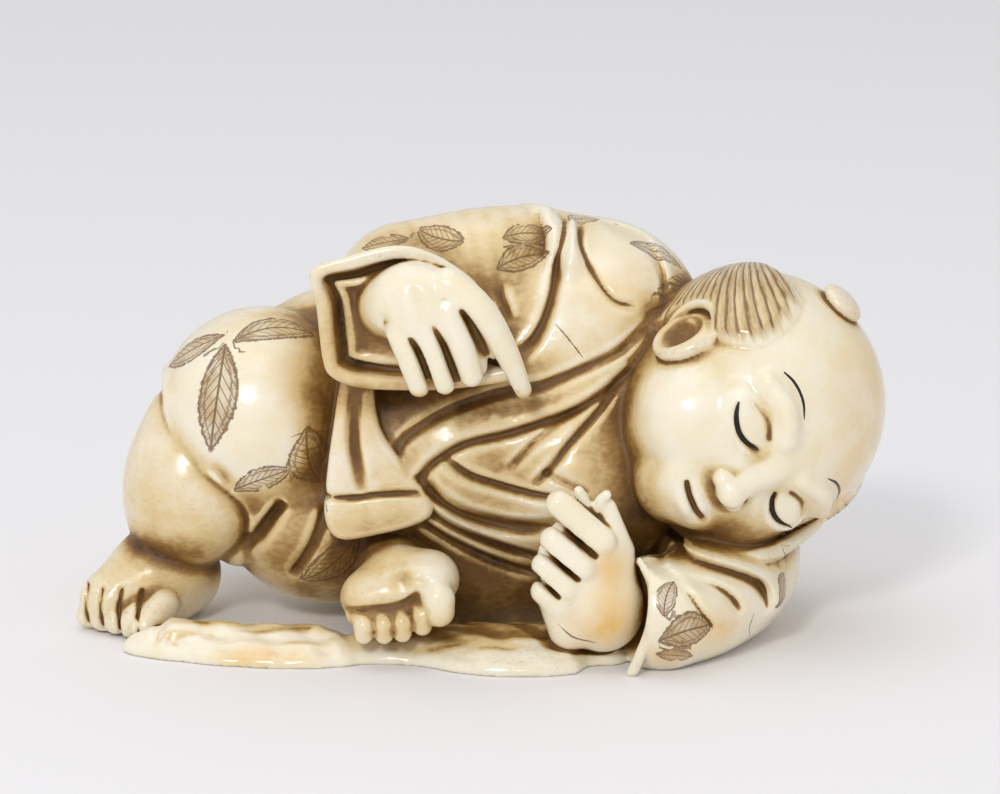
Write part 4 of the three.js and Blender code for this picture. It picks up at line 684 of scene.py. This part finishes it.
def carved_figure():
    block = Carving()
    for part in (robed_body, front_folds, shoulder_folds, back_folds, seat, robe_corner, right_leg,
                 right_sleeve, right_hand, left_sleeve, left_hand, head, left_foot, leaf_base,
                 cord_channel):
        part(block)
    block.value = np.maximum(block.value, -block.places[2])          # flat on the ground
    return block


# ---- what each point of the skin is told, for the stain, the painted shade and the engraving ---
# Soft round patches of colour: the centre of each, its reach and its strength.
PATINA = [((7.8, -12.6, 4.2), (1.2, 2, 2.2), 0.4), ((-14, -11.6, 1), (4, 0.8, 0.6), 0.5),
          (on_head(5, -2.6, 6), (3.6, 2.6, 4), 0.35), (on_head(2.4, -5.3, 4.6), 1.5, 1.2),
          (on_head(7.5, 1, 2), 4, 0.4), ((7, -12.6, 2.6), (1.8, 2, 1.3), 0.8),
          ((7.4, -12, 6.2), (1, 1, 1.2), 0.6), ((-2, -11.6, 21.6), 0.35, 0.6),
          ((13.8, -12, 2.6), (1.6, 2, 1.2), 0.6), ((-12.5, -11.8, 0.5), (2.6, 1, 0.8), 0.6),
          ((-9, -4.4, 15), (2, 3, 3), 0.45), ((8.4, -3, 20.6), (2.4, 3, 1.8), 0.4),
          ((-2, 0, 23.4), (3, 3, 1), 0.35), ((-16.2, -5, 4), (1, 2, 1.6), 0.6),
          ((11, -13.4, 1), (1.4, 1.4, 0.9), 0.6), ((10.4, -6.6, 12), (1.4, 2, 3), 0.45)]
BARE = [((-17.5, -3, 6), (4, 5, 5), 0.6), ((-21, -4.6, 1.6), (2.5, 2.5, 2), 0.7),
        ((-5, -11.6, 4.6), (2.6, 1.4, 1.4), 0.7), ((-9.2, -9, 19.5), (0.9, 2, 4), 0.7),
        ((-4, -9, 23.6), (4, 1.6, 0.8), 0.6), ((0, -9, 16), (7, 1.4, 1.2), 0.6),
        ((2, -12.6, 1.4), (6, 2, 1.6), 0.6), ((0, -7, 9), (5, 3, 4), 0.5),
        (on_head(7.4, 4, -0.6), 1.8, 0.8), (on_head(-1.7, 7.4, 1.7), 2.4, 0.9),
        ((10, -11, 3), (0.9, 3, 4), 0.6), ((17, -7.6, 3.4), 1.6, 0.6), ((17.5, -6.8, 5.8), (4, 2, 0.9), 0.8)]
# Brown grime, with painted shade where the figure hangs over itself: under the right sleeve, under the chin
# and under the belly.
GRIME_AND_SHADE = [
    # darker in the right sleeve's mouth and behind the hand, and painted shade under the sleeve
    ((-6, -6.4, 19), (2.4, 1.6, 3), 0.7), ((-8.2, -7.6, 19.5), (1.2, 1.6, 3.4), 0.7),
    ((-7.8, -9.4, 17.5), (1.2, 1.2, 2), 0.2), ((-1.5, -9.8, 18.2), (3, 0.7, 2), 0.6),
    ((-3, -7.4, 16.4), (5, 1.4, 0.8), 0.8), ((-3, -9, 15.5), (6.5, 1.6, 0.6), 0.5),
    ((-3, -9.5, 15.7), (6.5, 1.4, 0.5), 0.4), ((-3, -6.8, 14.9), (6, 1.6, 0.8), 0.6),
    # the shoulder and the small of the back
    ((-4.6, -1.6, 22.9), (2.6, 1.6, 0.9), 0.3), ((-10.5, -1.4, 17.9), (2.2, 1.4, 0.8), 0.5),
    ((3, -0.8, 22.6), (1.8, 1.8, 1.6), 0.25),
    # the chest and belly
    ((0, -7, 9.5), (6, 3, 4), 0.14), ((8, -7, 13), (2, 3, 3), 0.2), ((-1, -7.5, 14.4), (6, 2, 1.2), 0.5),
    ((-6.6, -8, 7.6), (2.6, 2, 2), 0.08), ((1, -8, 7.6), (7, 3, 4), 0.04), ((0, -8, 13), (7, 3, 3.2), 0.08),
    # brown grime and painted shade under the chin, and darker in the ear and beside the nose
    ((9.6, -7.6, 9), (2, 2.4, 1.6), 0.8), ((12.4, -8.4, 7), (4, 2.4, 1.3), 0.5),
    (on_head(-1.9, 7.1, 1.6), (1.5, 1.2, 1.4), 0.55), (on_head(-1.7, 7.4, 1.7), (2, 1.6, 1.8), 0.45),
    (on_head(-0.6, 1.2, 8), (0.8, 0.8, 0.8), 0.3),
    # the left hand and its sleeve
    ((9, -11.2, 2.6), (0.8, 1.2, 2.6), 0.7), ((9.8, -12, 3.4), (0.5, 2, 3.4), 0.35),
    ((3.6, -12.6, 7.4), (1.6, 0.5, 2.6), 0.2),
    # the right leg and foot
    ((-18.6, -3.4, 5.1), (2.8, 2.4, 0.5), 0.5), ((-17.5, -5, 7), (3, 3, 3.5), 0.12),
    ((-19.5, -4.6, 3.4), (3.4, 3, 1.6), 0.1), ((-17, -5.4, 9), (3.2, 4, 4.4), 0.1),
    ((-17.5, -4.6, 5.4), (3.4, 4, 1), 0.3), ((-19.5, -6, 2.6), (4, 4, 2), 0.04),
    # the left foot, and the hollows over the leaf, with painted shade under the belly where it hangs over the
    # leaf
    ((-5.2, -11, 2.4), (2.6, 1, 0.8), 0.5), ((-5.2, -11.4, 3.5), (2.4, 1.4, 0.5), 0.4),
    ((-4.3, -11.6, 5.4), (0.7, 1, 0.6), 0.4), ((-8.5, -4, 4.6), (3, 3, 2), 0.4),
    ((-9, -6, 4.4), (4, 4, 3), 0.5), ((1, -6, 3), (5, 3, 2), 0.95), ((0, -8.6, 2.8), (7.5, 4, 1.8), 0.6),
    ((2, -5, 1.6), (8, 5, 2.2), 0.8), ((-13, -8, 1.9), (6, 1.6, 0.5), 0.5),
    ((3, -8.4, 1.9), (5, 1.6, 0.5), 0.5)]
GRIME_AND_SHADE += [((x, y, 1.5), (1.7, 0.22, 1), 0.55) for x, y in (            # streaks along the leaf
    (-17.4, -9.6), (-15, -8.8), (-14.4, -10.4), (-12, -9.6), (-10.6, -10.8), (-9.4, -9.2),
    (-2.4, -11.2), (0.4, -10.2), (1, -12), (3.6, -11))]
RUBBED = [(on_head(2.5, 0, 5), (7, 6.5, 6), 1.2), ((-14.5, -6, 12.5), (3, 4, 3), 1),
          ((7, -12.4, 4.5), (3.4, 2.6, 4), 1.3), ((-2.5, -11, 20), (3.4, 2, 3.4), 1),
          ((1, -10.5, 17.6), (2, 1.4, 2.4), 0.8), ((-14, -10.5, 0.8), (6, 3, 1.2), 0.9),
          ((3, -12.6, 0.8), (7, 2.4, 1.2), 0.9), ((7, -1, 21.4), (3, 3, 2), 0.6),
          ((14.5, -11, 2.4), (2.6, 3, 2.2), 0.8), ((-2.2, -12, 4.2), (1, 1, 1.4), 0.7)]
THIN_FILM, CLEANEST, MOST_GRIME_AND_SHADE = 0.15, -0.4, 0.75      # grime all over, and the two limits of the grime and painted shade


def soft_spots(points, patches):
    """How strongly a set of patches colours each point, from 0 to 1."""
    amount = sum(strength * np.exp(-(((points - centre) / reach) ** 2).sum(1))
                 for centre, reach, strength in patches)
    return np.clip(amount, 0, 1)


def tints(points):
    """Yellow patina, bare grey ivory, and brown grime with painted shade (below 0 where it is rubbed clean).
    """
    film_and_shade = THIN_FILM + soft_spots(points, GRIME_AND_SHADE) - 0.5 * soft_spots(points, RUBBED)
    return np.column_stack([soft_spots(points, PATINA), soft_spots(points, BARE),
                            np.clip(film_and_shade, CLEANEST, MOST_GRIME_AND_SHADE)])


# Leaves engraved on the robe: the foot of each, its tip and half its width.
SPRIGS = [((-14.4, -4.3, 17.3), (-15.2, -6.6, 11.5), 1.2), ((-14.8, -3.6, 17.6), (-18.1, -1.7, 15.2), 0.9),
          ((-14.2, -4, 17.6), (-9.4, -2.4, 18.2), 1.0), ((-14.2, -6, 9.2), (-10.7, -6.8, 10.4), 0.8),
          ((-9, -5.7, 9.1), (-9.9, -6.7, 12.7), 1.3), ((-6.6, -6.3, 6.2), (-10.2, -5.2, 3.3), 1.0),
          ((10.3, -13.8, 2.5), (13.4, -12.5, 3), 1.0), ((10.5, -13.6, 3.6), (11.1, -12.6, 5.5), 0.6),
          ((10.2, -13.6, 1.5), (12.4, -12.9, 1), 0.5), ((17.4, -9, 2.9), (17.9, -7, 4.4), 0.6),
          ((-0.8, -1.9, 22.8), (-3.6, -1.1, 23.4), 1.1), ((-3.9, -2.1, 22.9), (-6.8, -1.7, 22.6), 0.8),
          ((1.5, -1.2, 23.1), (4.3, -1, 23.6), 0.8), ((1.1, -2.6, 21.6), (4.1, -1.9, 22.4), 0.8),
          ((9.1, -0.2, 22.5), (11.8, 0.9, 21), 0.8), ((5.3, 0.8, 23.6), (7.1, 2.5, 23.4), 0.7),
          ((2, 8.4, 19), (-2.6, 8.4, 20), 1.2), ((2.2, 8.6, 18.6), (5.2, 8, 20.8), 1.1),
          ((2, 9, 18.4), (1, 10, 13.6), 1.2), ((-12.6, 10, 14), (-16, 7.4, 15.6), 1.2),
          ((-12.4, 10.6, 13.4), (-9, 9.6, 16), 1.1), ((-12.6, 11, 12.8), (-13.4, 11.6, 8.6), 1.2),
          ((12, 6.8, 7), (15.6, 5.6, 5), 1.1)]
SPRIG_BEND = 0.35                        # how far a leaf's midrib bows, in half widths
PAST_TIP, PAST_EDGE = 1.06, 1.18         # how far past its tip and its edge a leaf is still told
SPRIG_FACING, LINE_FACING = 0.25, 0.3    # least cosine between the skin and what is drawn on it
SPRIG_DEEP = 1.3                         # furthest that the skin lies over or under a leaf
LINE_NEAR, INK_NEAR = 0.8, 0.7           # furthest that a line and a stroke of ink are told


def sprig_places(points, normals):
    """Where each point lies in the leaf nearest to it: along it and across it, from -1 to 1."""
    place = np.tile((3.0, 3.0, 0.0), (len(points), 1))
    nearest = np.full(len(points), 1.0)
    for foot, tip, half_width in SPRIGS:
        foot, tip = np.array(foot), np.array(tip)
        gap = points - (foot + tip) / 2
        out = normals[(gap ** 2).sum(1).argmin()]
        along = unit(tip - foot - ((tip - foot) @ out) * out)
        half_length = np.linalg.norm(tip - foot) / 2
        a = gap @ along / half_length
        b = gap @ np.cross(out, along) / half_width + SPRIG_BEND * (a * a - 0.4)
        off = np.maximum(np.abs(a) / PAST_TIP, np.abs(b) / PAST_EDGE)
        near = (off < nearest) & (normals @ out > SPRIG_FACING) & (np.abs(gap @ out) < SPRIG_DEEP)
        nearest[near] = off[near]
        place[near] = np.column_stack([a, b, np.ones(len(points))])[near]
    return place


# Fine engraved lines, drawn on the front: at the collar, on the left sleeve, on the chest and
# the left wrist, and on the thigh.
FINE_LINES = [[(5.6, 23.8), (5.9, 22.6), (6.6, 21.3), (7.8, 20), (9.2, 19.5)],
              [(7, 23.6), (8.5, 23), (10, 22.1), (10.8, 20.8)],
              [(17.7, 6), (18, 4.9), (17.9, 3.8)], [(16, 2.9), (15.7, 1.9), (15.8, 1)],
              [(4.5, 18.8), (5.4, 17.8), (6.2, 16.8)], [(4.6, 2.9), (5.6, 2.1), (7, 1.7)],
              [(-10.8, 12.4), (-9.8, 12.6), (-8.6, 12.4)], [(-10.3, 11.5), (-8.7, 11.6)],
              [(-10.2, 11), (-8.8, 11.1)], [(-8.8, 9), (-8.6, 8)]]


def line_places(points, normals):
    """Signed distance to the nearest engraved line, how far along it, and whether one is near."""
    place = np.tile((2.0, 0.0, 0.0), (len(points), 1))
    u, v, _ = on_plane(FRONT, *points.T)
    facing = normals @ FRONT[3]
    for line in FINE_LINES:
        gap, side, along = along_line(smooth(line, 5), u, v)
        gap = gap / np.maximum(facing, LINE_FACING)
        nearer = (gap < np.minimum(np.abs(place[:, 0]), LINE_NEAR)) & (facing > LINE_FACING)
        nearer &= (along > 0) & (along < 1)
        place[nearer] = np.column_stack([gap * side, along, np.ones(len(gap))])[nearer]
    return place


def hair_places(points):
    """On the side locks: a strand's turn about the comb's start, how far down it, how deep in."""
    place = np.tile((0.0, 0.0, -3.0), (len(points), 1))
    for s in (-1, 1):
        u, v, depth = on_plane(temple(s), *points.T)
        inside = -outline_distance(u, v, smooth(LOCK, 4, closed=True))
        off_skull = ((points - HEAD) @ np.array(HEAD_AXES).T) / (np.array(SKULL) + HAIR_OVER)
        near = (depth > 1) & (inside > -PAST_LOCK) & ((off_skull ** 2).sum(1) < 1.05)
        down, over = u - COMBED_FROM[0], v - COMBED_FROM[1]
        strand = np.column_stack([np.arctan2(over, down), np.hypot(down, over), inside])
        place[near] = strand[near]
    return place


def ink_places(points):
    """The painted lashes and brows: signed distance, half the stroke's width, and near or not."""
    u, v, depth = on_plane(FACE, *points.T)
    place = np.tile((2.0, 0.05, 0.0), (len(points), 1))
    lash = [(1.5, 0.02), (2.2, -0.42), (3, -0.6), (3.9, -0.42), (4.75, 0.1)]
    brow = [(2.1, 3.05), (3, 3.4), (4, 3.35), (4.9, 2.9)]
    for s in (-1, 1):
        for stroke, half_width in ((lash, 0.15), (brow, 0.08)):
            line = smooth([(out * s, EYE_UP + lift) for out, lift in stroke], 6)
            gap, side, along = along_line(line, u, v)
            near = (gap < INK_NEAR) & (along > 0) & (along < 1) & (depth > 1)
            taper = half_width * np.sqrt(np.clip(np.minimum(along * 1.3, 1 - along) * 3, 0, 1))
            place[near] = np.column_stack([gap * side, taper, np.ones(len(gap))])[near]
    return place


# ---- colour and shading -----------------------------------------------------------------------
SOFT = {"kind": "MapRange", "interpolation_type": "SMOOTHSTEP"}
TIMES, PLUS, LESS, MOST, SIZE, FOLD, OVER, UNDER = ({"kind": "Math", "operation": name} for name in (
    "MULTIPLY", "ADD", "SUBTRACT", "MAXIMUM", "ABSOLUTE", "PINGPONG", "GREATER_THAN", "LESS_THAN"))
SURE = 0.98                              # over this, all three corners of a face are told yes
PALE, CREAM, YELLOW, BONE_GREY = "#f6edd8", "#efdfb2", "#e8b850", "#c9bfa8"
# The stain colours paint the grooves' old stain, and also the painted shade under the right sleeve, the chin
# and the belly.
THIN_STAIN_AND_SHADE, BROWN_STAIN_AND_SHADE, THICK_STAIN_AND_SHADE, OLDEST_STAIN = "#dfc48a", "#b08b4c", "#78531f", "#422a0c"
ENGRAVED, INK = "#70470f", "#14100d"
LIGHT_DEPTH = 0.9                        # how far light goes into the ivory, mm
TOOTH = 0.09                             # a leaf's teeth, in half widths
VEINS, VEIN_SLANT = 4.5, 2.4             # a leaf's side veins in half its length, and their slant
STRANDS = 17.0                           # strands of hair in a radian about the comb's start


def linear(colour):
    """A colour written as #rrggbb, in the linear light that the renderer works in."""
    parts = [int(colour[i:i + 2], 16) / 255 for i in (1, 3, 5)]
    return (*(p / 12.92 if p <= 0.04045 else ((p + 0.055) / 1.055) ** 2.4 for p in parts), 1)


def added(tree, inputs, kind, out=0, **settings):
    """Adds a node with its settings and what goes into it, and gives back one of its outputs.

    What goes into a MapRange is a value, the range it is looked for in, and what that range becomes.
    """
    made = tree.nodes.new("ShaderNode" + kind)
    for name, value in settings.items():
        setattr(made, name, value)
    for name, value in inputs.items() if isinstance(inputs, dict) else enumerate(inputs):
        if isinstance(value, bpy.types.NodeSocket):
            tree.links.new(value, made.inputs[name])
        else:
            made.inputs[name].default_value = value
    return made.outputs[out]


def settled_stain_and_shade(add, hollow, brown, grain, broad):
    """A dark core in grooves, brown on both sides of it, and a thin wash in broad hollows, with the tint's
    brown grime and painted shade laid over them, more in hollows.
    """
    near_hollow, mid_hollow, far_hollow = hollow
    side = add([mid_hollow, 0.48, 0.64, 0, 0.85], **SOFT)
    wash = add([far_hollow, 0.39, 0.66, 0, 0.72], **SOFT)
    hidden = add([near_hollow, 0.495, 0.42, 1, 0.25], **SOFT)
    unrubbed = add([brown, CLEANEST, 0, 0.3, 1], **SOFT)
    stain = add([side, wash], **MOST)
    for share in (hidden, unrubbed):
        stain = add([stain, share], **TIMES)
    held = add([near_hollow, 0.42, 0.52, 0.65, 1.1], **SOFT)
    # the tint's brown grime and painted shade, kept more in hollows
    film_and_shade = add([add([brown, 0.0], **MOST), held], **TIMES)
    room = add([1.0, add([stain, 0.6], **TIMES)], **LESS)
    stain = add([stain, add([film_and_shade, room], **TIMES)], **PLUS)
    for cloud, low, thin, thick in ((grain, 0.3, 0.9, 1.08), (broad, 0.35, 0.82, 1.12)):
        patchy = add([cloud, low, 1 - low, thin, thick], **SOFT)
        stain = add([stain, patchy], **TIMES)
    core = add([near_hollow, 0.535, 0.67, 0, 1.15], **SOFT)
    return add([stain, core], **MOST)


def engraved_leaves(add, leaf, fine, broad):
    """Serrated outlines, midribs and side veins, and the thin wash of stain inside the leaves."""
    along, across, told_leaf = leaf
    off = add([across], **SIZE)
    half_leaf = add([1.0, add([along, along], **TIMES)], **LESS)
    teeth = add([fine, 0.2, 0.8, -TOOTH, TOOTH], **SOFT)
    rim = add([add([off, half_leaf], **LESS), teeth], **PLUS)
    outline = add([add([rim], **SIZE), 0.12, 0.04], **SOFT)
    ends = add([add([along], **SIZE), 1.04, 1.0], **SOFT)
    outline = add([outline, ends], **TIMES)
    inset = add([add([rim, 0.3], **PLUS)], **SIZE)
    inner = add([inset, 0.08, 0.02, 0, 0.7], **SOFT)
    rib = add([off, 0.08, 0.03], **SOFT)
    slant = add([add([along, VEINS], **TIMES), add([off, VEIN_SLANT], **TIMES)], **LESS)
    veins = add([add([slant, 0.5], **FOLD), 0.1, 0.03, 0, 0.8], **SOFT)
    within = add([rim, 0, -0.1], **SOFT)
    cut = add([add([rib, veins], **MOST), inner], **MOST)
    cut = add([add([cut, within], **TIMES), outline], **MOST)
    sure = add([told_leaf, SURE], **OVER)
    wash = add([broad, 0.4, 0.65, 0.3, 0.75], **SOFT)
    wash = add([add([wash, within], **TIMES), sure], **TIMES)
    return add([cut, sure], **TIMES), wash


def engraved_lines(add, line, fine):
    """Single lines, thinner at their ends."""
    gap, along, told_line = line
    from_end = add([along, 0.5], **FOLD)
    half_width = add([from_end, 0, 0.3, 0.015, 0.045], **SOFT)
    wander = add([fine, 0.3, 0.7, 0.6, 1.3], **SOFT)
    cut = add([add([gap], **SIZE), add([half_width, wander], **TIMES)], **UNDER)
    return add([cut, add([told_line, SURE], **OVER)], **TIMES)


def combed_hair(add, hair):
    """The stain between strands, lighter streaks of it on them, and how surely this is hair."""
    turn, down, inside = hair
    spread = add([add([turn, 22.0], **TIMES), add([down, 0.35], **TIMES)], kind="CombineXYZ")
    streak = add({"Vector": spread, "Scale": 1.0, "Detail": 3.0, "Roughness": 0.6}, kind="TexNoise")
    comb = add([add([turn, STRANDS], **TIMES), add([streak, 0.9], **TIMES)], **PLUS)
    ragged = add([inside, add([streak, 1.4], **TIMES)], **PLUS)
    in_lock = add([ragged, 0.5, 1.0], **SOFT)
    between = add([add([comb, 0.5], **FOLD), 0.22, 0.06], **SOFT)
    strands = add([streak, 0.36, 0.62, 0.9, 0.22], **SOFT)
    return (add([between, in_lock], **TIMES), add([strands, in_lock], **TIMES), in_lock)


def ivory():
    """Carved ivory: dense, finely polished on what stands up, with old brown stain in what lies deep, and
    painted shade under the right sleeve, the chin and the belly.

    Light goes a millimetre into it before it comes back, so edges glow and nothing is chalky. The
    polish gives small sharp highlights, and the stain, which no cloth reaches, stays dull.
    """
    material = bpy.data.materials.new("stained_ivory")
    material.use_nodes = True
    tree = material.node_tree
    shader = tree.nodes["Principled BSDF"]
    add = functools.partial(added, tree)
    skin = {}
    for name in ("hollow", "tint", "sprig", "line", "hair", "ink"):
        vector = add([], kind="Attribute", out="Vector", attribute_name=name)
        skin[name] = add([vector], kind="SeparateXYZ").node.outputs
    yellow, grey, brown = skin["tint"]
    ink_gap, ink_width, told_ink = skin["ink"]

    # clouds in the ivory: how far across a patch is in mm, its detail, and how much it is flattened
    place = add([], kind="TexCoord", out="Object")
    clouds = []
    for across, detail, flat in ((0.22, 3, 1), (2.6, 3, 1), (0.45, 3, 1.7), (0.3, 2, 1), (1.2, 3, 1)):
        spread = add({0: place, 3: (1, 1, flat)}, kind="Mapping")
        clouds.append(add({"Vector": spread, "Scale": 1 / (across * MM),
                           "Detail": detail, "Roughness": 0.55}, kind="TexNoise"))
    fine, broad, grain, specks, waves = clouds

    # the stain also carries the painted shade under the right sleeve, the chin and the belly
    stain = settled_stain_and_shade(add, skin["hollow"], brown, grain, broad)
    engraved, leaf_wash = engraved_leaves(add, skin["sprig"], fine, broad)
    engraved = add([engraved, engraved_lines(add, skin["line"], fine)], **MOST)
    between, strands, in_lock = combed_hair(add, skin["hair"])
    ink = add([add([ink_gap], **SIZE), ink_width], **UNDER)
    ink = add([ink, add([told_ink, SURE], **OVER)], **TIMES)

    # fine pores hold dirt where the surface is least polished
    unpolished = add([grey, stain], **PLUS)
    unpolished = add([unpolished, 0.1, 0.9, 0.1, 0.75], **SOFT)
    pores = add([add([specks, 0.62, 0.7], **SOFT), unpolished], **TIMES)

    thirsty = add([broad, 0.3, 0.6, 0.55, 1], **SOFT)
    matt = add([fine, 0.3, 0.7, 0.3, 0.75], **SOFT)
    dirt = add([leaf_wash, add([pores, 0.6], **TIMES)], **MOST)
    deep = add([stain, add([between, 0.85], **TIMES)], **MOST)
    colour = linear(PALE)
    for share, paint in (
            (add([broad, 0.38, 0.68, 0, 0.4], **SOFT), CREAM),
            (add([yellow, thirsty], **TIMES), YELLOW),
            (add([grey, matt], **TIMES), BONE_GREY),
            (add([in_lock, 0.7], **TIMES), THIN_STAIN_AND_SHADE),
            (strands, BROWN_STAIN_AND_SHADE),
            (dirt, BROWN_STAIN_AND_SHADE),
            (add([stain, 0.04, 0.34, 0, 0.85], **SOFT), THIN_STAIN_AND_SHADE),
            (add([stain, 0.25, 0.65], **SOFT), BROWN_STAIN_AND_SHADE),
            (add([deep, 0.45, 0.95], **SOFT), THICK_STAIN_AND_SHADE),
            (add([engraved, 0.85], **TIMES), ENGRAVED),
            (add([stain, 0.95, 1.5], **SOFT), OLDEST_STAIN),
            (ink, INK)):
        colour = add({0: share, 6: colour, 7: linear(paint)}, kind="Mix", out=2, data_type="RGBA")

    dull = add([add([grey, 0.5], **TIMES), add([stain, 0.1, 0.8], **SOFT)], **MOST)
    height = add([waves, 0.3, 0.7, 0, 0.01], **SOFT)
    for cut, depth in ((engraved, 0.05), (between, 0.1), (pores, 0.02)):         # depths in mm
        height = add([height, add([cut, depth], **TIMES)], **LESS)
    bump = add({"Height": height, "Distance": MM, "Strength": 1.0}, kind="Bump")

    tree.links.new(colour, shader.inputs["Base Color"])
    tree.links.new(add({0: dull, 3: 0.2, 4: 0.55}, kind="MapRange"), shader.inputs["Roughness"])
    tree.links.new(add([stain, 0.1, 0.6, 0.25, 0], **SOFT), shader.inputs["Coat Weight"])
    tree.links.new(bump, shader.inputs["Normal"])
    shader.inputs["IOR"].default_value = 1.54
    shader.inputs["Subsurface Weight"].default_value = 0.35
    shader.inputs["Subsurface Radius"].default_value = (0.9, 0.65, 0.42)         # red goes deepest
    shader.inputs["Subsurface Scale"].default_value = LIGHT_DEPTH * MM
    shader.inputs["Coat Roughness"].default_value = 0.12
    return material


# ---- the figure's skin ------------------------------------------------------------------------
def meshed(block):
    """The carving's skin, thinned, as one object that isn't yet moved to the origin."""
    points, faces = block.skin()
    rough_mesh = bpy.data.meshes.new("rough_skin")
    rough_mesh.from_pydata((points * MM).tolist(), [], faces.tolist())
    made = bpy.data.objects.new("carved_ivory", rough_mesh)
    bpy.context.scene.collection.objects.link(made)
    thinning = made.modifiers.new("thinning", "DECIMATE")
    thinning.ratio = min(1, TRIANGLES / (2 * len(faces)))
    thinned = made.evaluated_get(bpy.context.evaluated_depsgraph_get())
    mesh = bpy.data.meshes.new_from_object(thinned)
    made.modifiers.clear()
    made.data = mesh
    bpy.data.meshes.remove(rough_mesh)
    mesh.polygons.foreach_set("use_smooth", [True] * len(mesh.polygons))
    return made


block = carved_figure()
figure = meshed(block)
mesh = figure.data
points = np.empty(3 * len(mesh.vertices), np.float32)
mesh.vertices.foreach_get("co", points)
points = points.reshape(-1, 3) / MM
normals = np.empty(3 * len(mesh.vertices), np.float32)
mesh.vertex_normals.foreach_get("vector", normals)
normals = normals.reshape(-1, 3)
hollow = np.column_stack([block.sample(fullness(block, reach), points) for reach in HOLLOW_REACHES])
for name, values in (("hollow", hollow), ("tint", tints(points)), ("sprig", sprig_places(points, normals)),
                     ("line", line_places(points, normals)), ("hair", hair_places(points)),
                     ("ink", ink_places(points))):
    told = mesh.attributes.new(name, "FLOAT_VECTOR", "POINT")
    told.data.foreach_set("vector", values.astype(np.float32).ravel())
mesh.vertices.foreach_set("co", ((points - (*MIDDLE, 0)) * MM).astype(np.float32).ravel())
mesh.materials.append(ivory())
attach(figure, "root")
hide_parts("carved_ivory_figure")


# ---- the studio: a pale sheet, a white room and two soft lamps --------------------------------
VIEW_RISE, VIEW_AWAY = math.radians(14), 0.247        # the camera looks down by 14 degrees, from 247 mm
LOOKS_AT = Vector((1.33 - MIDDLE[0], -MIDDLE[1], 13.1)) * MM
LAMPS_AIM = Vector((0, 0, 0.012))


def matt_card(colour):
    """Matt card: it takes a soft shadow and has no shine of its own."""
    material = bpy.data.materials.new("pale_sheet")
    material.use_nodes = True
    shader = material.node_tree.nodes["Principled BSDF"]
    shader.inputs["Base Color"].default_value = linear(colour)
    shader.inputs["Roughness"].default_value = 0.7
    return material


bpy.ops.mesh.primitive_plane_add(size=3, location=(0, 0, 0))
floor = bpy.context.object
floor.name = "floor"
floor.data.materials.append(matt_card("#f1eff0"))

world = bpy.data.worlds.new("white_room")
bpy.context.scene.world = world
world.use_nodes = True
world.node_tree.nodes["Background"].inputs["Color"].default_value = linear("#fbfcff")
world.node_tree.nodes["Background"].inputs["Strength"].default_value = 0.63
for place, size, power in (((-0.1, -0.34, 0.26), 0.07, 0.58), ((-0.05, 0.02, 0.5), 0.45, 0.62)):
    light = bpy.data.lights.new("soft_lamp", "AREA")
    light.size, light.energy = size, power
    lamp = bpy.data.objects.new("soft_lamp", light)
    bpy.context.scene.collection.objects.link(lamp)
    lamp.location = place
    lamp.rotation_euler = (LAMPS_AIM - lamp.location).to_track_quat("-Z", "Y").to_euler()
bpy.context.scene.view_settings.view_transform = "Standard"

camera = bpy.data.cameras.new("view")
camera.lens, camera.sensor_width, camera.clip_start = 150, 36, 0.01
viewer = bpy.data.objects.new("view", camera)
bpy.context.scene.collection.objects.link(viewer)
viewer.location = LOOKS_AT + VIEW_AWAY * Vector((0, -math.cos(VIEW_RISE), math.sin(VIEW_RISE)))
viewer.rotation_euler = (math.pi / 2 - VIEW_RISE, 0, 0)
bpy.context.scene.camera = viewer
